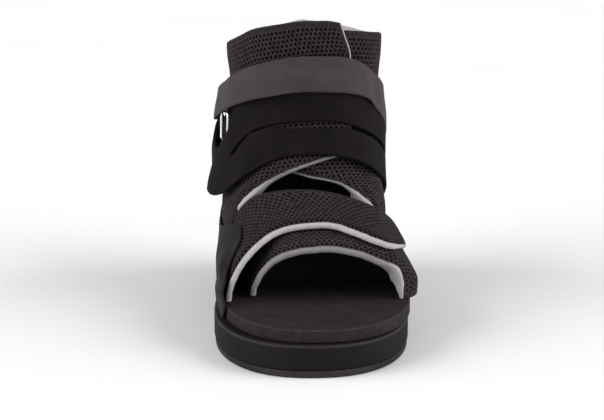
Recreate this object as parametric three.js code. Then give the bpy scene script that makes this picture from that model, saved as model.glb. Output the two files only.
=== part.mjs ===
// Postoperative shoe: an open-toed mesh upper on a thick flat sole, closed by two straps.
// Millimetres, +Z up, toe towards -Y, the tread rests on the plane z = 0.
import * as THREE from "three";

// Sole stack
const SOLE_LENGTH = 285;
const SOLE_HALF_WIDTH = 58;
const HEEL_HALF_WIDTH = 46;
const TOE_CAP_LENGTH = 90;
const HEEL_CAP_LENGTH = 48;
const TOE_FULLNESS = 2.3;
const TOE_DRIFT = -1;
const TREAD_HEIGHT = 4;
const TREAD_INSET = 0.6;
const SOLE_TOP = 18.7;
const SOLE_EDGE = 1.6;
const INSOLE_TOP = 26.5;
const INSOLE_EDGE = 1.8;
const INSOLE_TOE_LENGTH = 88;
const INSOLE_HEEL_LENGTH = 43;
const INSOLE_TOE_FULLNESS = 2.2;
const GAP = 0.3;

// Cloth thicknesses and layer spacing
const QUARTER_WALL = 4.5;
const TOE_WALL = 4.2;
const COUNTER_WALL = 1.8;
const STRAP_WALL = 2.2;
const LAYER_GAP = 0.5;
const COUNTER_GAP = 0.9;
const BINDING_GAP = 0.6;
const STEEP_END_GAP = 0.7;
const QUARTER_BINDING_GAP = 1;
const TOE_BINDING_WIDTH = 4;
const TOE_BINDING_THICK = 3.4;
const EDGE_TAPE_ANGLE = 1.6;

// Bend of the foot form: sections fan round a pivot in front of the ankle
const PIVOT_Y = -60;
const PIVOT_Z = 173.5;
const SPINE_RADIUS = 110;
const QUARTER_TURN = (SPINE_RADIUS * Math.PI) / 2;

// Heights on which the walls stand
const WALL_FOOT = SOLE_TOP + GAP;
const FLAP_FOOT = INSOLE_TOP + GAP;

// Wire ring at the left end of the ankle strap
const RING_STATION = 118.5;
const RING_ANGLE = -64;
const RING_HALF_HEIGHT = 9.5;
const RING_HALF_WIDTH = 6.5;
const RING_CORNER = 3;
const RING_WIRE = 1.1;

// Foot form sections: station, top radius, bottom radius, half width, radius of the widest place,
// fullness left, fullness right, sideways shift
const FORM_SECTIONS = [
  [-90, 126.0, 190.0, 51.5, 141.0, 2.0, 2.5, 1.5],
  [-45, 122.0, 190.0, 53.0, 141.0, 2.0, 2.5, 1.5],
  [-20, 117.5, 190.0, 54.0, 141.0, 2.0, 2.55, 1.5],
  [0, 111.0, 190.0, 54.2, 141.0, 2.05, 2.6, 1.5],
  [28.8, 107.3, 200.0, 52.7, 144.0, 2.2, 2.6, 1.3],
  [57.6, 107.0, 222.0, 49.8, 152.0, 2.4, 2.4, 0.3],
  [86.4, 103.0, 250.0, 47.6, 160.0, 2.3, 2.3, -1.1],
  [103.7, 100.5, 240.0, 47.6, 158.0, 2.25, 2.25, -1.2],
  [124.8, 95.4, 209.0, 48.0, 148.0, 2.2, 2.2, -1.2],
  [138.2, 92.4, 195.0, 45.8, 142.5, 2.15, 2.15, -0.7],
  [151.7, 90.6, 188.0, 44.4, 139.0, 2.1, 2.1, 0.0],
  [172.8, 89.1, 185.5, 46.0, 137.0, 2.1, 2.1, 0.0],
  [197.8, 89.5, 186.0, 47.2, 137.0, 2.1, 2.1, 0.0],
];

// Insole sides: y, half width left, half width right
const INSOLE_SIDES = [
  [-50, 53.5, 59.5],
  [-20, 51.6, 56.8],
  [0, 49.0, 51.5],
  [8, 46.5, 48.0],
  [30, 45.2, 45.5],
  [58, 43.2, 42.0],
  [85, 39.5, 37.2],
];

// Toe flap edges: angle, front of the outer flap, front of the inner flap, rear of both
const TOE_EDGES = [
  [-104, -14, -1, 46],
  [-95, -15, -2.5, 46],
  [-86, -14.8, -5, 46],
  [-79, -14.2, -7, 46],
  [-72, -12.3, -9, 46],
  [-65, -9.4, -10.5, 46],
  [-57, -5.5, -12, 51.5],
  [-49, -0.8, -13.3, 54],
  [-40, 4, -14, 55.5],
  [-28, 7, -13.8, 54],
  [-15, 8.2, -13, 53],
  [0, 8.7, -12.8, 52],
  [10, 9.1, -12, 50.5],
  [23, 7.3, -12.3, 48],
  [34, 2.5, -13.5, 45.5],
  [45, -2.3, -15, 44.5],
  [54, -5.4, -16.2, 44.5],
  [61, -6, -16.6, 46],
  [66, -2.6, -15.2, 46.5],
  [69, 6, -14.6, 46.5],
  [72, 16, -14, 46.5],
  [76, 21, -13.2, 46.5],
  [86, 24, -10.4, 46.5],
  [104, 28, -8, 46.5],
];

// Toe flap lift of the inner face off the foot form: angle, inner flap, outer flap
const TOE_LIFTS = [
  [-106, -8.0, -4.6],
  [-95, -8.0, -5.2],
  [-86, -8.0, -6.4],
  [-79, -7.8, -5.6],
  [-72, -7.4, -3.7],
  [-65, -6.8, -1.9],
  [-57, -6.0, -0.8],
  [-42, -4.9, -0.1],
  [0, -4.3, 0.5],
  [50, -3.4, 1.4],
  [72, -1.6, 3.2],
  [88, 4.6, 9.4],
  [98, 4.4, 9.2],
  [106, 3.0, 7.8],
];
const OUTER_FLAP_END = 73;
const FLAP_SETTLE = 24;
const FLAP_TUCK_REACH = 15;

// Inner toe flap, tuck of its front edge at the right: angle, tuck
const INNER_TUCKS = [
  [50, 0],
  [60, 1.7],
  [67, 3.0],
  [72, 2.6],
  [74, 3.4],
  [77, 5.6],
  [80, 7.2],
  [84, 8.8],
  [90, 9.2],
  [96, 8.6],
  [106, 8.0],
];

// Inner toe flap, draw of its left end towards the middle of the shoe: angle, draw
const INNER_DRAWS = [
  [-106, 10.5],
  [-92, 12.6],
  [-82, 13.8],
  [-72, 12.6],
  [-57, 8.2],
  [-40, 3],
  [-24, 0.3],
  [-18, 0],
];

// Left quarter, lower edge in front: angle, station
const LEFT_QUARTER_LOW = [
  [-180, 47],
  [-63, 47],
  [-57, 53],
  [-52, 54.6],
  [-42, 57],
  [-33, 59.7],
  [-20, 64.7],
  [-8, 69.8],
  [4, 74.8],
  [14, 80.2],
  [30, 90],
];

// Left quarter, free edge: station, angle
const LEFT_QUARTER_FREE = [
  [70, 19],
  [86, 21],
  [104, 27],
  [124, 31],
  [155, 31],
  [173, 26],
  [184, 22],
];

// Left quarter, rim: angle, station
const LEFT_QUARTER_RIM = [
  [-180, 173.5],
  [-150, 169.5],
  [-120, 166],
  [-90, 166],
  [-68, 168],
  [-54, 171],
  [-40, 175.7],
  [-20, 179.5],
  [0, 182],
  [12, 182],
  [30, 179],
];

// Right quarter, lower edge in front: angle, station
const RIGHT_QUARTER_LOW = [
  [-16, 74.5],
  [-6, 71],
  [4, 67.8],
  [15, 66.4],
  [24, 65.2],
  [34, 60.8],
  [42, 56.3],
  [49, 51.8],
  [53, 48.4],
  [57, 47],
  [180, 47],
];

// Right quarter, rim: angle, station
const RIGHT_QUARTER_RIM = [
  [-16, 176],
  [27, 175],
  [41, 174],
  [63, 172],
  [90, 170.5],
  [120, 169.5],
  [150, 171.5],
  [180, 173.5],
];
const RIGHT_QUARTER_FREE = -13;

// Quarter lift of the inner face off the foot form: angle, left quarter, right quarter
const QUARTER_LIFTS = [
  [-180, 0, 0],
  [-52, 0, -2.6],
  [-16, 2.5, -2.6],
  [36, 2.5, -2.6],
  [60, 2.5, 0],
  [180, 2.5, 0],
];

// Rolled bindings of the quarters: angle, width, thickness
const LEFT_BINDING = [
  [-60, 1.6, 1.4],
  [-53, 5.6, 3.0],
  [-44, 6.4, 3.4],
  [-33, 5.2, 3.0],
  [-20, 3.4, 2.2],
  [4, 2.4, 1.8],
  [30, 2.0, 1.6],
];
const RIGHT_BINDING = [
  [-16, 1.5, 1.2],
  [18, 1.6, 1.2],
  [30, 2.8, 1.9],
  [38, 5.8, 3.2],
  [46, 6.4, 3.4],
  [51, 4.2, 2.8],
  [54, 2.2, 1.8],
  [57, 1.4, 1.4],
];

// Heel counter round the back from right to left: angle, lower or front edge, top edge
const COUNTER_EDGES = [
  [96, 60, 66],
  [104, 50, 80],
  [116, 50, 92],
  [140, 50, 105],
  [180, 50, 116],
  [220, 44, 107],
  [254, -18, 89],
  [266, -26, 81],
  [276, -16, 75],
  [281, -5, 67],
  [287, 3, 56],
  [292, 6.8, 47.5],
  [296, 10.4, 41],
  [300, 19, 35],
  [302, 28, 32],
];
const COUNTER_CREASE = 36.5;
const COUNTER_HUG = 14;

// Two-finger instep strap: angle, low edge, slot low side, slot high side, top edge
const INSTEP_EDGES = [
  [-118, 103, 106, 109, 122],
  [-108, 100.5, 104, 108, 125],
  [-92, 95.5, 101, 106, 124.6],
  [-84, 92.5, 99, 104, 124.4],
  [-79, 89, 97, 102, 122],
  [-75, 86, 95.5, 99.5, 116],
  [-70, 81.5, 94.7, 98, 110],
  [-64, 77, 94.5, 97, 107.5],
  [-57, 73, 94, 96, 109.5],
  [-51, 72, 94, 95.5, 112.5],
  [-47, 72, 94.3, 95.5, 121],
  [-43, 72.3, 94.8, 98, 127],
  [-38, 73, 97.6, 100.8, 130],
  [-34, 74, 101, 103, 131],
  [-30, 75, 103.6, 105, 132],
  [-21, 77.5, 103.8, 106.4, 133],
  [-8, 80.3, 101.6, 107.1, 134],
  [8, 81, 101.4, 108.1, 134],
  [19, 81.3, 102.9, 108.7, 134],
  [26, 81.7, 104.3, 108.4, 133],
  [33, 82, 104.2, 108, 131],
  [41, 83.2, 104.4, 107.9, 127.2],
  [58, 87.5, 106, 109, 122.5],
  [82, 92, 106.5, 109, 118],
  [108, 96, 105.5, 108, 116],
  [118, 98, 103, 109, 114],
];
const SLOT_START = -47;

// Ankle strap: angle, low edge, top edge
const ANKLE_EDGES = [
  [-104, 128, 138],
  [-92, 126, 140],
  [-75, 125, 140.5],
  [-62, 124.5, 141.5],
  [-53, 124.5, 143.5],
  [-41, 125, 148],
  [-30, 126, 151.5],
  [-20, 127, 154],
  [-10, 129, 156],
  [0, 130, 157],
  [18, 130, 157],
  [30, 129.5, 155],
  [42, 127.5, 151],
  [56, 124, 146],
  [82, 119.5, 141],
  [108, 118, 139],
  [118, 120, 137],
];

// Strap lift of the inner face off the foot form: angle, lift
const STRAP_LIFTS = [
  [-180, 8.0],
  [-52, 8.0],
  [-30, 7.7],
  [26, 7.7],
  [38, 7.3],
  [54, 5.4],
  [180, 5.3],
];

const clamp = THREE.MathUtils.clamp;
const lerp = THREE.MathUtils.lerp;
const smooth = (t) => THREE.MathUtils.smoothstep(t, 0, 1);
const toRadians = THREE.MathUtils.degToRad;

// Smooth curve through one column of a table, with no overshoot between its rows
function curve(table, column) {
  const last = table.length - 1;
  const steps = [];
  for (let i = 0; i < last; i += 1) {
    steps.push((table[i + 1][column] - table[i][column]) / (table[i + 1][0] - table[i][0]));
  }
  const slopes = table.map((row, i) => {
    const before = steps[Math.max(i - 1, 0)];
    const after = steps[Math.min(i, last - 1)];
    return before * after > 0 ? (2 * before * after) / (before + after) : 0;
  });
  return (x) => {
    const at = clamp(x, table[0][0], table[last][0]);
    let i = 0;
    while (i < last - 1 && at > table[i + 1][0]) {
      i += 1;
    }
    const span = table[i + 1][0] - table[i][0];
    const t = (at - table[i][0]) / span;
    const rest = 1 - t;
    const start = rest * rest * (1 + 2 * t) * table[i][column] + rest * rest * t * span * slopes[i];
    const end = t * t * (3 - 2 * t) * table[i + 1][column] - t * t * rest * span * slopes[i + 1];
    return start + end;
  };
}

const formTop = curve(FORM_SECTIONS, 1);
const formBottom = curve(FORM_SECTIONS, 2);
const formHalf = curve(FORM_SECTIONS, 3);
const formMid = curve(FORM_SECTIONS, 4);
const fullLeft = curve(FORM_SECTIONS, 5);
const fullRight = curve(FORM_SECTIONS, 6);
const formShift = curve(FORM_SECTIONS, 7);

// Point of the foot form at a station along the bend and an angle round the section
function formPoint(station, angle) {
  const turn = toRadians(angle);
  const across = Math.sin(turn);
  const along = Math.cos(turn);
  const mid = formMid(station);
  const reach = along >= 0 ? mid - formTop(station) : formBottom(station) - mid;
  const power = across < 0 ? fullLeft(station) : fullRight(station);
  const sum = Math.abs(across / formHalf(station)) ** power + Math.abs(along / reach) ** power;
  const size = sum ** (-1 / power);
  const radius = mid - size * along;
  const bend = clamp(station, 0, QUARTER_TURN) / SPINE_RADIUS;
  const x = size * across + formShift(station);
  const y = PIVOT_Y + Math.min(station, 0) + radius * Math.sin(bend);
  const z = PIVOT_Z + Math.max(station - QUARTER_TURN, 0) - radius * Math.cos(bend);
  return new THREE.Vector3(x, y, z);
}

// Outward direction of the foot form
function formNormal(station, angle) {
  const along = formPoint(station + 0.5, angle).sub(formPoint(station - 0.5, angle));
  const round = formPoint(station, angle + 0.5).sub(formPoint(station, angle - 0.5));
  return round.cross(along).normalize();
}

// Point at a height off the foot form
function lifted(station, angle, lift) {
  return formPoint(station, angle).addScaledVector(formNormal(station, angle), lift);
}

// Angle on one side at which a section of the foot form comes down to a level
function footAngle(station, level) {
  let low = 80;
  let high = 180;
  for (let k = 0; k < 40; k += 1) {
    const middle = (low + high) / 2;
    if (formPoint(station, middle).z > level) {
      low = middle;
    } else {
      high = middle;
    }
  }
  return low;
}

// Station at which the foot form comes down to a level at an angle below the widest place
function footStation(angle, level) {
  let low = -60;
  let high = 125;
  for (let k = 0; k < 40; k += 1) {
    const middle = (low + high) / 2;
    if (formPoint(middle, angle).z < level) {
      low = middle;
    } else {
      high = middle;
    }
  }
  return high;
}

// Step in station that gives a width square to an edge running across the stations
function stepAcross(edge, angle, width) {
  const station = edge(angle);
  const run = formPoint(edge(angle + 1), angle + 1).sub(formPoint(edge(angle - 1), angle - 1));
  run.normalize();
  const rise = formPoint(station + 0.5, angle).sub(formPoint(station - 0.5, angle));
  rise.addScaledVector(run, -rise.dot(run));
  return width / rise.length();
}

// Closed shell over a grid: place gives a point for column, row and face, keep tells the kept cells
function gridShell(columns, rows, place, keep) {
  const positions = [];
  const index = [];
  const known = new Map();
  const at = (i, j, face) => {
    const key = `${i} ${j} ${face}`;
    if (!known.has(key)) {
      const point = place(i, j, face);
      known.set(key, positions.length / 3);
      positions.push(point.x, point.y, point.z);
    }
    return known.get(key);
  };
  const quad = (a, b, c, d) => {
    index.push(a, b, c, a, c, d);
  };
  const kept = (i, j) => i >= 0 && j >= 0 && i < columns && j < rows && keep(i, j);
  for (let i = 0; i < columns; i += 1) {
    for (let j = 0; j < rows; j += 1) {
      if (!kept(i, j)) {
        continue;
      }
      quad(at(i, j, 1), at(i + 1, j, 1), at(i + 1, j + 1, 1), at(i, j + 1, 1));
      quad(at(i, j, 0), at(i, j + 1, 0), at(i + 1, j + 1, 0), at(i + 1, j, 0));
      if (!kept(i, j - 1)) {
        quad(at(i + 1, j, 1), at(i, j, 1), at(i, j, 0), at(i + 1, j, 0));
      }
      if (!kept(i, j + 1)) {
        quad(at(i, j + 1, 1), at(i + 1, j + 1, 1), at(i + 1, j + 1, 0), at(i, j + 1, 0));
      }
      if (!kept(i - 1, j)) {
        quad(at(i, j, 1), at(i, j + 1, 1), at(i, j + 1, 0), at(i, j, 0));
      }
      if (!kept(i + 1, j)) {
        quad(at(i + 1, j + 1, 1), at(i + 1, j, 1), at(i + 1, j, 0), at(i + 1, j + 1, 0));
      }
    }
  }
  const geometry = new THREE.BufferGeometry();
  geometry.setAttribute("position", new THREE.Float32BufferAttribute(positions, 3));
  geometry.setIndex(index);
  geometry.computeVertexNormals();
  return geometry;
}

const everyCell = () => true;

// Even spread of a number of steps between two values
function spread(from, to, steps) {
  return Array.from({ length: steps + 1 }, (unused, k) => lerp(from, to, k / steps));
}

// Stack of closed rings joined by side walls, with a flat cap at each end
function ringStack(rings) {
  const count = rings[0].length;
  const positions = rings.flatMap((ring) => ring.flatMap((point) => [point.x, point.y, point.z]));
  const index = [];
  for (let k = 0; k < rings.length - 1; k += 1) {
    for (let i = 0; i < count; i += 1) {
      const next = (i + 1) % count;
      const a = k * count + i;
      const b = k * count + next;
      const c = (k + 1) * count + next;
      const d = (k + 1) * count + i;
      index.push(a, b, c, a, c, d);
    }
  }
  const cap = (ring, start, flip) => {
    const flat = ring.map((point) => new THREE.Vector2(point.x, point.y));
    for (const [a, b, c] of THREE.ShapeUtils.triangulateShape(flat, [])) {
      const corners = flip ? [a, c, b] : [a, b, c];
      index.push(...corners.map((corner) => start + corner));
    }
  };
  cap(rings[0], 0, true);
  cap(rings[rings.length - 1], (rings.length - 1) * count, false);
  const geometry = new THREE.BufferGeometry();
  geometry.setAttribute("position", new THREE.Float32BufferAttribute(positions, 3));
  geometry.setIndex(index);
  geometry.computeVertexNormals();
  return geometry;
}

// Rounded end of an outline: share of the full half width at a share of the end's length
const capShare = (t, fullness = 2) => Math.max(1 - t ** fullness, 0) ** (1 / fullness);

// Half width of the sole at a place along it, with its edge drawn in
function soleHalf(y, inset) {
  const toeStart = -SOLE_LENGTH / 2 + TOE_CAP_LENGTH;
  const heelStart = SOLE_LENGTH / 2 - HEEL_CAP_LENGTH;
  if (y < toeStart) {
    return (SOLE_HALF_WIDTH - inset) * capShare((toeStart - y) / (TOE_CAP_LENGTH - inset), TOE_FULLNESS);
  }
  if (y > heelStart) {
    return (HEEL_HALF_WIDTH - inset) * capShare((y - heelStart) / (HEEL_CAP_LENGTH - inset));
  }
  const share = smooth((y - toeStart) / (heelStart - toeStart));
  return lerp(SOLE_HALF_WIDTH, HEEL_HALF_WIDTH, share) - inset;
}

// Sideways drift of the sole's middle line towards the toe tip
function soleDrift(y) {
  const toeStart = -SOLE_LENGTH / 2 + TOE_CAP_LENGTH;
  const share = clamp((toeStart - y) / TOE_CAP_LENGTH, 0, 1);
  return TOE_DRIFT * share * share;
}

// Ring of the sole's outline at a height, counter-clockwise seen from above
function soleRing(z, inset, steps) {
  const length = SOLE_LENGTH / 2 - inset;
  const ring = [];
  for (let k = 0; k < 2 * steps; k += 1) {
    const turn = (Math.PI * k) / steps;
    const y = -length * Math.cos(turn);
    const side = k <= steps ? 1 : -1;
    ring.push(new THREE.Vector3(soleDrift(y) + side * soleHalf(y, inset), y, z));
  }
  return ring;
}

const insoleLeft = curve(INSOLE_SIDES, 1);
const insoleRight = curve(INSOLE_SIDES, 2);

// Ring of the insole's outline at a height, counter-clockwise seen from above
function insoleRing(z, inset, steps) {
  const toeStart = INSOLE_SIDES[0][0];
  const heelStart = INSOLE_SIDES[INSOLE_SIDES.length - 1][0];
  const front = toeStart - INSOLE_TOE_LENGTH + inset;
  const back = heelStart + INSOLE_HEEL_LENGTH - inset;
  const ring = [];
  for (let k = 0; k < 2 * steps; k += 1) {
    const y = (front + back) / 2 - ((back - front) / 2) * Math.cos((Math.PI * k) / steps);
    const half = k <= steps ? insoleRight(y) - inset : inset - insoleLeft(y);
    const toe = clamp((toeStart - y) / (toeStart - front), 0, 1);
    const heel = clamp((y - heelStart) / (back - heelStart), 0, 1);
    const share = capShare(toe, INSOLE_TOE_FULLNESS) * capShare(heel);
    ring.push(new THREE.Vector3(half * share, y, z));
  }
  return ring;
}

function makeTread() {
  const inset = TREAD_INSET;
  return ringStack([soleRing(0, inset + 1, 30), soleRing(1, inset, 30), soleRing(TREAD_HEIGHT, inset, 30)]);
}

function makeSoleBlock() {
  const low = TREAD_HEIGHT + GAP;
  const edge = SOLE_EDGE;
  const rings = [
    soleRing(low, edge, 36),
    soleRing(low + edge * 0.3, edge * 0.3, 36),
    soleRing(low + edge, 0, 36),
    soleRing(SOLE_TOP - edge, 0, 36),
    soleRing(SOLE_TOP - edge * 0.3, edge * 0.3, 36),
    soleRing(SOLE_TOP, edge, 36),
  ];
  return ringStack(rings);
}

function makeInsole() {
  const low = SOLE_TOP + GAP;
  const edge = INSOLE_EDGE;
  const rings = [
    insoleRing(low, 0, 36),
    insoleRing(INSOLE_TOP - edge, 0, 36),
    insoleRing(INSOLE_TOP - edge * 0.3, edge * 0.3, 36),
    insoleRing(INSOLE_TOP, edge, 36),
  ];
  return ringStack(rings);
}

const outerFlapFront = curve(TOE_EDGES, 1);
const innerFlapFront = curve(TOE_EDGES, 2);
const flapRear = curve(TOE_EDGES, 3);
const innerFlapLift = curve(TOE_LIFTS, 1);
const outerFlapLift = curve(TOE_LIFTS, 2);

const innerTuck = curve(INNER_TUCKS, 1);
const innerDraw = curve(INNER_DRAWS, 1);

// Share by which the inner flap's right end settles into line with the quarter behind it
function innerSettle(station, angle) {
  return smooth((station - FLAP_SETTLE) / 18) * smooth((angle - 76) / 14);
}

// Lift of the inner flap: tucked in at the toe opening, in line with the quarter at the rear
function innerLift(station, angle) {
  const near = smooth(1 - (station - innerFlapFront(angle)) / FLAP_TUCK_REACH);
  return lerp(innerFlapLift(angle), 0.2, innerSettle(station, angle)) - near * innerTuck(angle);
}

// Point on the inner flap, whose left end is drawn in under the outer flap
function drawn(station, angle, lift) {
  const point = lifted(station, angle, lift);
  point.x += innerDraw(angle) * (1 - 0.5 * smooth((station + 5) / 45));
  return point;
}

const outerLift = (station, angle) => outerFlapLift(angle);

// Place on a toe flap: share of the way round, then a station from the given edges
function flapPlace(share, along, near, far, rightEnd) {
  let station = 10;
  let angle = 0;
  for (let k = 0; k < 8; k += 1) {
    const foot = footAngle(station, FLAP_FOOT);
    angle = lerp(-foot, Math.min(foot, rightEnd), share);
    station = lerp(near(angle), far(angle), along);
  }
  return [station, angle];
}

// Toe flap between its binding and its rear edge, standing on the insole
function makeToeFlap(front, lift, rightEnd, locate) {
  const columns = 24;
  const rows = 6;
  const steep = rightEnd < 90 ? STEEP_END_GAP : 0;
  const room = (angle) => TOE_BINDING_WIDTH + BINDING_GAP + steep * smooth((angle - 58) / 8);
  const near = (angle) => front(angle) + stepAcross(front, angle, room(angle));
  const place = (i, j, face) => {
    const [station, angle] = flapPlace(i / columns, j / rows, near, flapRear, rightEnd);
    const point = locate(station, angle, lift(station, angle) + face * TOE_WALL);
    const standing = i === 0 || (i === columns && rightEnd > 90);
    point.z = standing ? FLAP_FOOT : Math.max(point.z, FLAP_FOOT);
    return point;
  };
  return gridShell(columns, rows, place, everyCell);
}

// Rolled binding along the front edge of a toe flap
function makeToeBinding(front, lift, rightEnd, locate) {
  const columns = 24;
  const rowShare = [0, 0.22, 0.6, 1];
  const swell = [0.4, 0.85, 1, 0.85];
  const far = (angle) => front(angle) + stepAcross(front, angle, TOE_BINDING_WIDTH);
  const place = (i, j, face) => {
    const [station, angle] = flapPlace(i / columns, rowShare[j], front, far, rightEnd);
    const middle = lift(station, angle) + TOE_WALL / 2;
    const half = (TOE_BINDING_THICK / 2) * swell[j];
    const point = locate(station, angle, middle + (face === 1 ? half : -half));
    const standing = i === 0 || (i === columns && rightEnd > 90);
    point.z = standing ? FLAP_FOOT : Math.max(point.z, FLAP_FOOT);
    return point;
  };
  return gridShell(columns, 3, place, everyCell);
}

const leftLow = curve(LEFT_QUARTER_LOW, 1);
const leftFree = curve(LEFT_QUARTER_FREE, 1);
const leftRim = curve(LEFT_QUARTER_RIM, 1);
const rightLow = curve(RIGHT_QUARTER_LOW, 1);
const rightRim = curve(RIGHT_QUARTER_RIM, 1);
const leftLift = curve(QUARTER_LIFTS, 1);
const rightLift = curve(QUARTER_LIFTS, 2);
const leftBindingWide = curve(LEFT_BINDING, 1);
const leftBindingThick = curve(LEFT_BINDING, 2);
const rightBindingWide = curve(RIGHT_BINDING, 1);
const rightBindingThick = curve(RIGHT_BINDING, 2);
const BINDING_LEFT_START = -57;
const BINDING_RIGHT_START = 54;
const LEFT_FRONT_STEPS = 14;
const RIGHT_FRONT_STEPS = 14;

// Lower bound of a quarter at an angle: sole, front edge or the inner side of its binding
function quarterLow(edge, wide, angle, bindingStart) {
  const size = Math.abs(angle);
  const front = edge(angle);
  const sole = size > 100 ? footStation(size, WALL_FOOT) : front;
  const bound = bindingStart < 0 ? angle > bindingStart : angle < bindingStart;
  const width = wide(angle) + QUARTER_BINDING_GAP;
  return bound ? front + stepAcross(edge, angle, width) : Math.max(front, sole);
}

// Angles along the lower front edges of the quarters
const leftLowAngle = (share) => leftAngle(lerp(0.015, 1, share), 60 + 24 * share);
const rightAngle = (share) => lerp(RIGHT_QUARTER_FREE, BINDING_RIGHT_START - 1, share);

// Angle on the left quarter in front of the panel: share of the way to its free edge
function leftAngle(share, station) {
  return lerp(BINDING_LEFT_START, leftFree(station) - EDGE_TAPE_ANGLE * 1.3, share);
}

function makeQuarterLeft() {
  const fixed = [...spread(-179.8, -116, 8), ...spread(-106, BINDING_LEFT_START - 0.4, 6)];
  const columns = fixed.length + LEFT_FRONT_STEPS;
  const rows = 13;
  const place = (i, j, face) => {
    let angle = fixed[Math.min(i, fixed.length - 1)];
    let station = 100;
    for (let k = 0; k < 8; k += 1) {
      if (i >= fixed.length) {
        angle = leftAngle((i - fixed.length) / LEFT_FRONT_STEPS, station);
      }
      station = lerp(quarterLow(leftLow, leftBindingWide, angle, BINDING_LEFT_START - 0.2), leftRim(angle), j / rows);
    }
    const point = lifted(station, angle, leftLift(angle) + face * QUARTER_WALL);
    const standing = j === 0 && angle < -100 && station > leftLow(angle);
    point.z = standing ? WALL_FOOT : Math.max(point.z, WALL_FOOT);
    return point;
  };
  return gridShell(columns, rows, place, everyCell);
}

function makeQuarterRight() {
  const angles = [
    ...spread(RIGHT_QUARTER_FREE, BINDING_RIGHT_START, RIGHT_FRONT_STEPS),
    ...spread(BINDING_RIGHT_START + 0.4, 106, 6),
    ...spread(116, 179.8, 8),
  ];
  const columns = angles.length - 1;
  const rows = 13;
  const place = (i, j, face) => {
    const angle = angles[i];
    const low = quarterLow(rightLow, rightBindingWide, angle, BINDING_RIGHT_START + 0.2);
    const station = lerp(low, rightRim(angle), j / rows);
    const point = lifted(station, angle, rightLift(angle) + face * QUARTER_WALL);
    const standing = j === 0 && low > rightLow(angle) && angle > 100;
    point.z = standing ? WALL_FOOT : Math.max(point.z, WALL_FOOT);
    return point;
  };
  return gridShell(columns, rows, place, everyCell);
}

// Rolled binding along the front lower edge of a quarter
function makeQuarterBinding(edge, lift, wide, thick, steps, angleAt) {
  const rowShare = [0, 0.22, 0.6, 1];
  const swell = [0.4, 0.85, 1, 0.9];
  const place = (i, j, face) => {
    const angle = angleAt(i / steps);
    const station = edge(angle) + rowShare[j] * stepAcross(edge, angle, wide(angle));
    const middle = lift(angle) + QUARTER_WALL / 2;
    const half = (thick(angle) / 2) * swell[j];
    return lifted(station, angle, middle + (face === 1 ? half : -half));
  };
  return gridShell(steps, 3, place, everyCell);
}

function makeLeftBinding() {
  return makeQuarterBinding(leftLow, leftLift, leftBindingWide, leftBindingThick, LEFT_FRONT_STEPS, leftLowAngle);
}

function makeRightBinding() {
  return makeQuarterBinding(rightLow, rightLift, rightBindingWide, rightBindingThick, RIGHT_FRONT_STEPS, rightAngle);
}

// Narrow tape along the free edge of the left quarter
function makeEdgeTape() {
  const stations = spread(92, 181, 18);
  const place = (i, j, face) => {
    const low = leftFree(stations[j]) - EDGE_TAPE_ANGLE;
    const angle = lerp(low, leftFree(stations[j]), i);
    const station = Math.min(stations[j], leftRim(angle));
    const middle = leftLift(angle) + QUARTER_WALL / 2;
    const half = (QUARTER_WALL / 2) * (i === 1 ? 0.8 : 1);
    return lifted(station, angle, middle + (face === 1 ? half : -half));
  };
  return gridShell(1, 18, place, everyCell);
}

const counterLow = curve(COUNTER_EDGES, 1);
const counterTop = curve(COUNTER_EDGES, 2);

// Lift of the panel's inner face: on the quarter behind, down on the outer toe flap at its front
function counterLift(station, angle) {
  const height = formPoint(station, angle).z;
  const front = smooth((angle - 245) / 15) * smooth((40 - station) / 20);
  const crease = 2.2 * front * Math.exp(-(((height - COUNTER_CREASE) / 3.5) ** 2));
  const lift = QUARTER_WALL + COUNTER_GAP - crease - 1.6 * front;
  const beside = 3.2 * smooth((31 - height) / 3);
  const flap = Math.max(outerFlapLift(angle - 360) + TOE_WALL + COUNTER_GAP, beside);
  const hug = smooth((angle - 250) / 12) * smooth(1 - (station - counterLow(angle)) / COUNTER_HUG);
  return lerp(lift, Math.min(lift, flap), hug);
}

// Smooth panel round the heel, running forward along the left side
function makeHeelCounter() {
  const angles = [...spread(96, 108, 3), ...spread(116, 244, 16), ...spread(250, 302, 10)];
  const rows = 7;
  const place = (i, j, face) => {
    const angle = angles[i];
    const below = angle <= 180 ? angle : 360 - angle;
    const sole = below > 100 ? footStation(below, WALL_FOOT) : -60;
    const low = Math.max(counterLow(angle), sole);
    const station = lerp(low, counterTop(angle), j / rows);
    const point = lifted(station, angle, counterLift(station, angle) + face * COUNTER_WALL);
    const standing = j === 0 && sole >= counterLow(angle);
    point.z = standing ? WALL_FOOT : Math.max(point.z, WALL_FOOT);
    return point;
  };
  return gridShell(angles.length - 1, rows, place, everyCell);
}

const instepLow = curve(INSTEP_EDGES, 1);
const slotLow = curve(INSTEP_EDGES, 2);
const slotHigh = curve(INSTEP_EDGES, 3);
const instepTop = curve(INSTEP_EDGES, 4);
const strapLift = curve(STRAP_LIFTS, 1);

// Outward flare of the loose left end of the instep strap
function tabFlare(station, angle) {
  const loose = 2 * smooth((122 - station) / 10) + 4.2 * Math.tanh(Math.max(104 - station, 0) / 10.5);
  return loose * smooth((-48 - angle) / 36);
}

function makeInstepStrap() {
  const angles = [...spread(-118, SLOT_START, 10), ...spread(-43, -30, 3), ...spread(-21, 118, 18)];
  const columns = angles.length - 1;
  const fingerRows = 3;
  const rows = 2 * fingerRows + 1;
  const place = (i, j, face) => {
    const angle = angles[i];
    const lower = lerp(instepLow(angle), slotLow(angle), j / fingerRows);
    const upper = lerp(slotHigh(angle), instepTop(angle), (j - fingerRows - 1) / fingerRows);
    const station = j <= fingerRows ? lower : upper;
    const lift = strapLift(angle) + tabFlare(station, angle);
    return lifted(station, angle, lift + face * STRAP_WALL);
  };
  const keep = (i, j) => j !== fingerRows || angles[i + 1] <= SLOT_START;
  return gridShell(columns, rows, place, keep);
}

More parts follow.
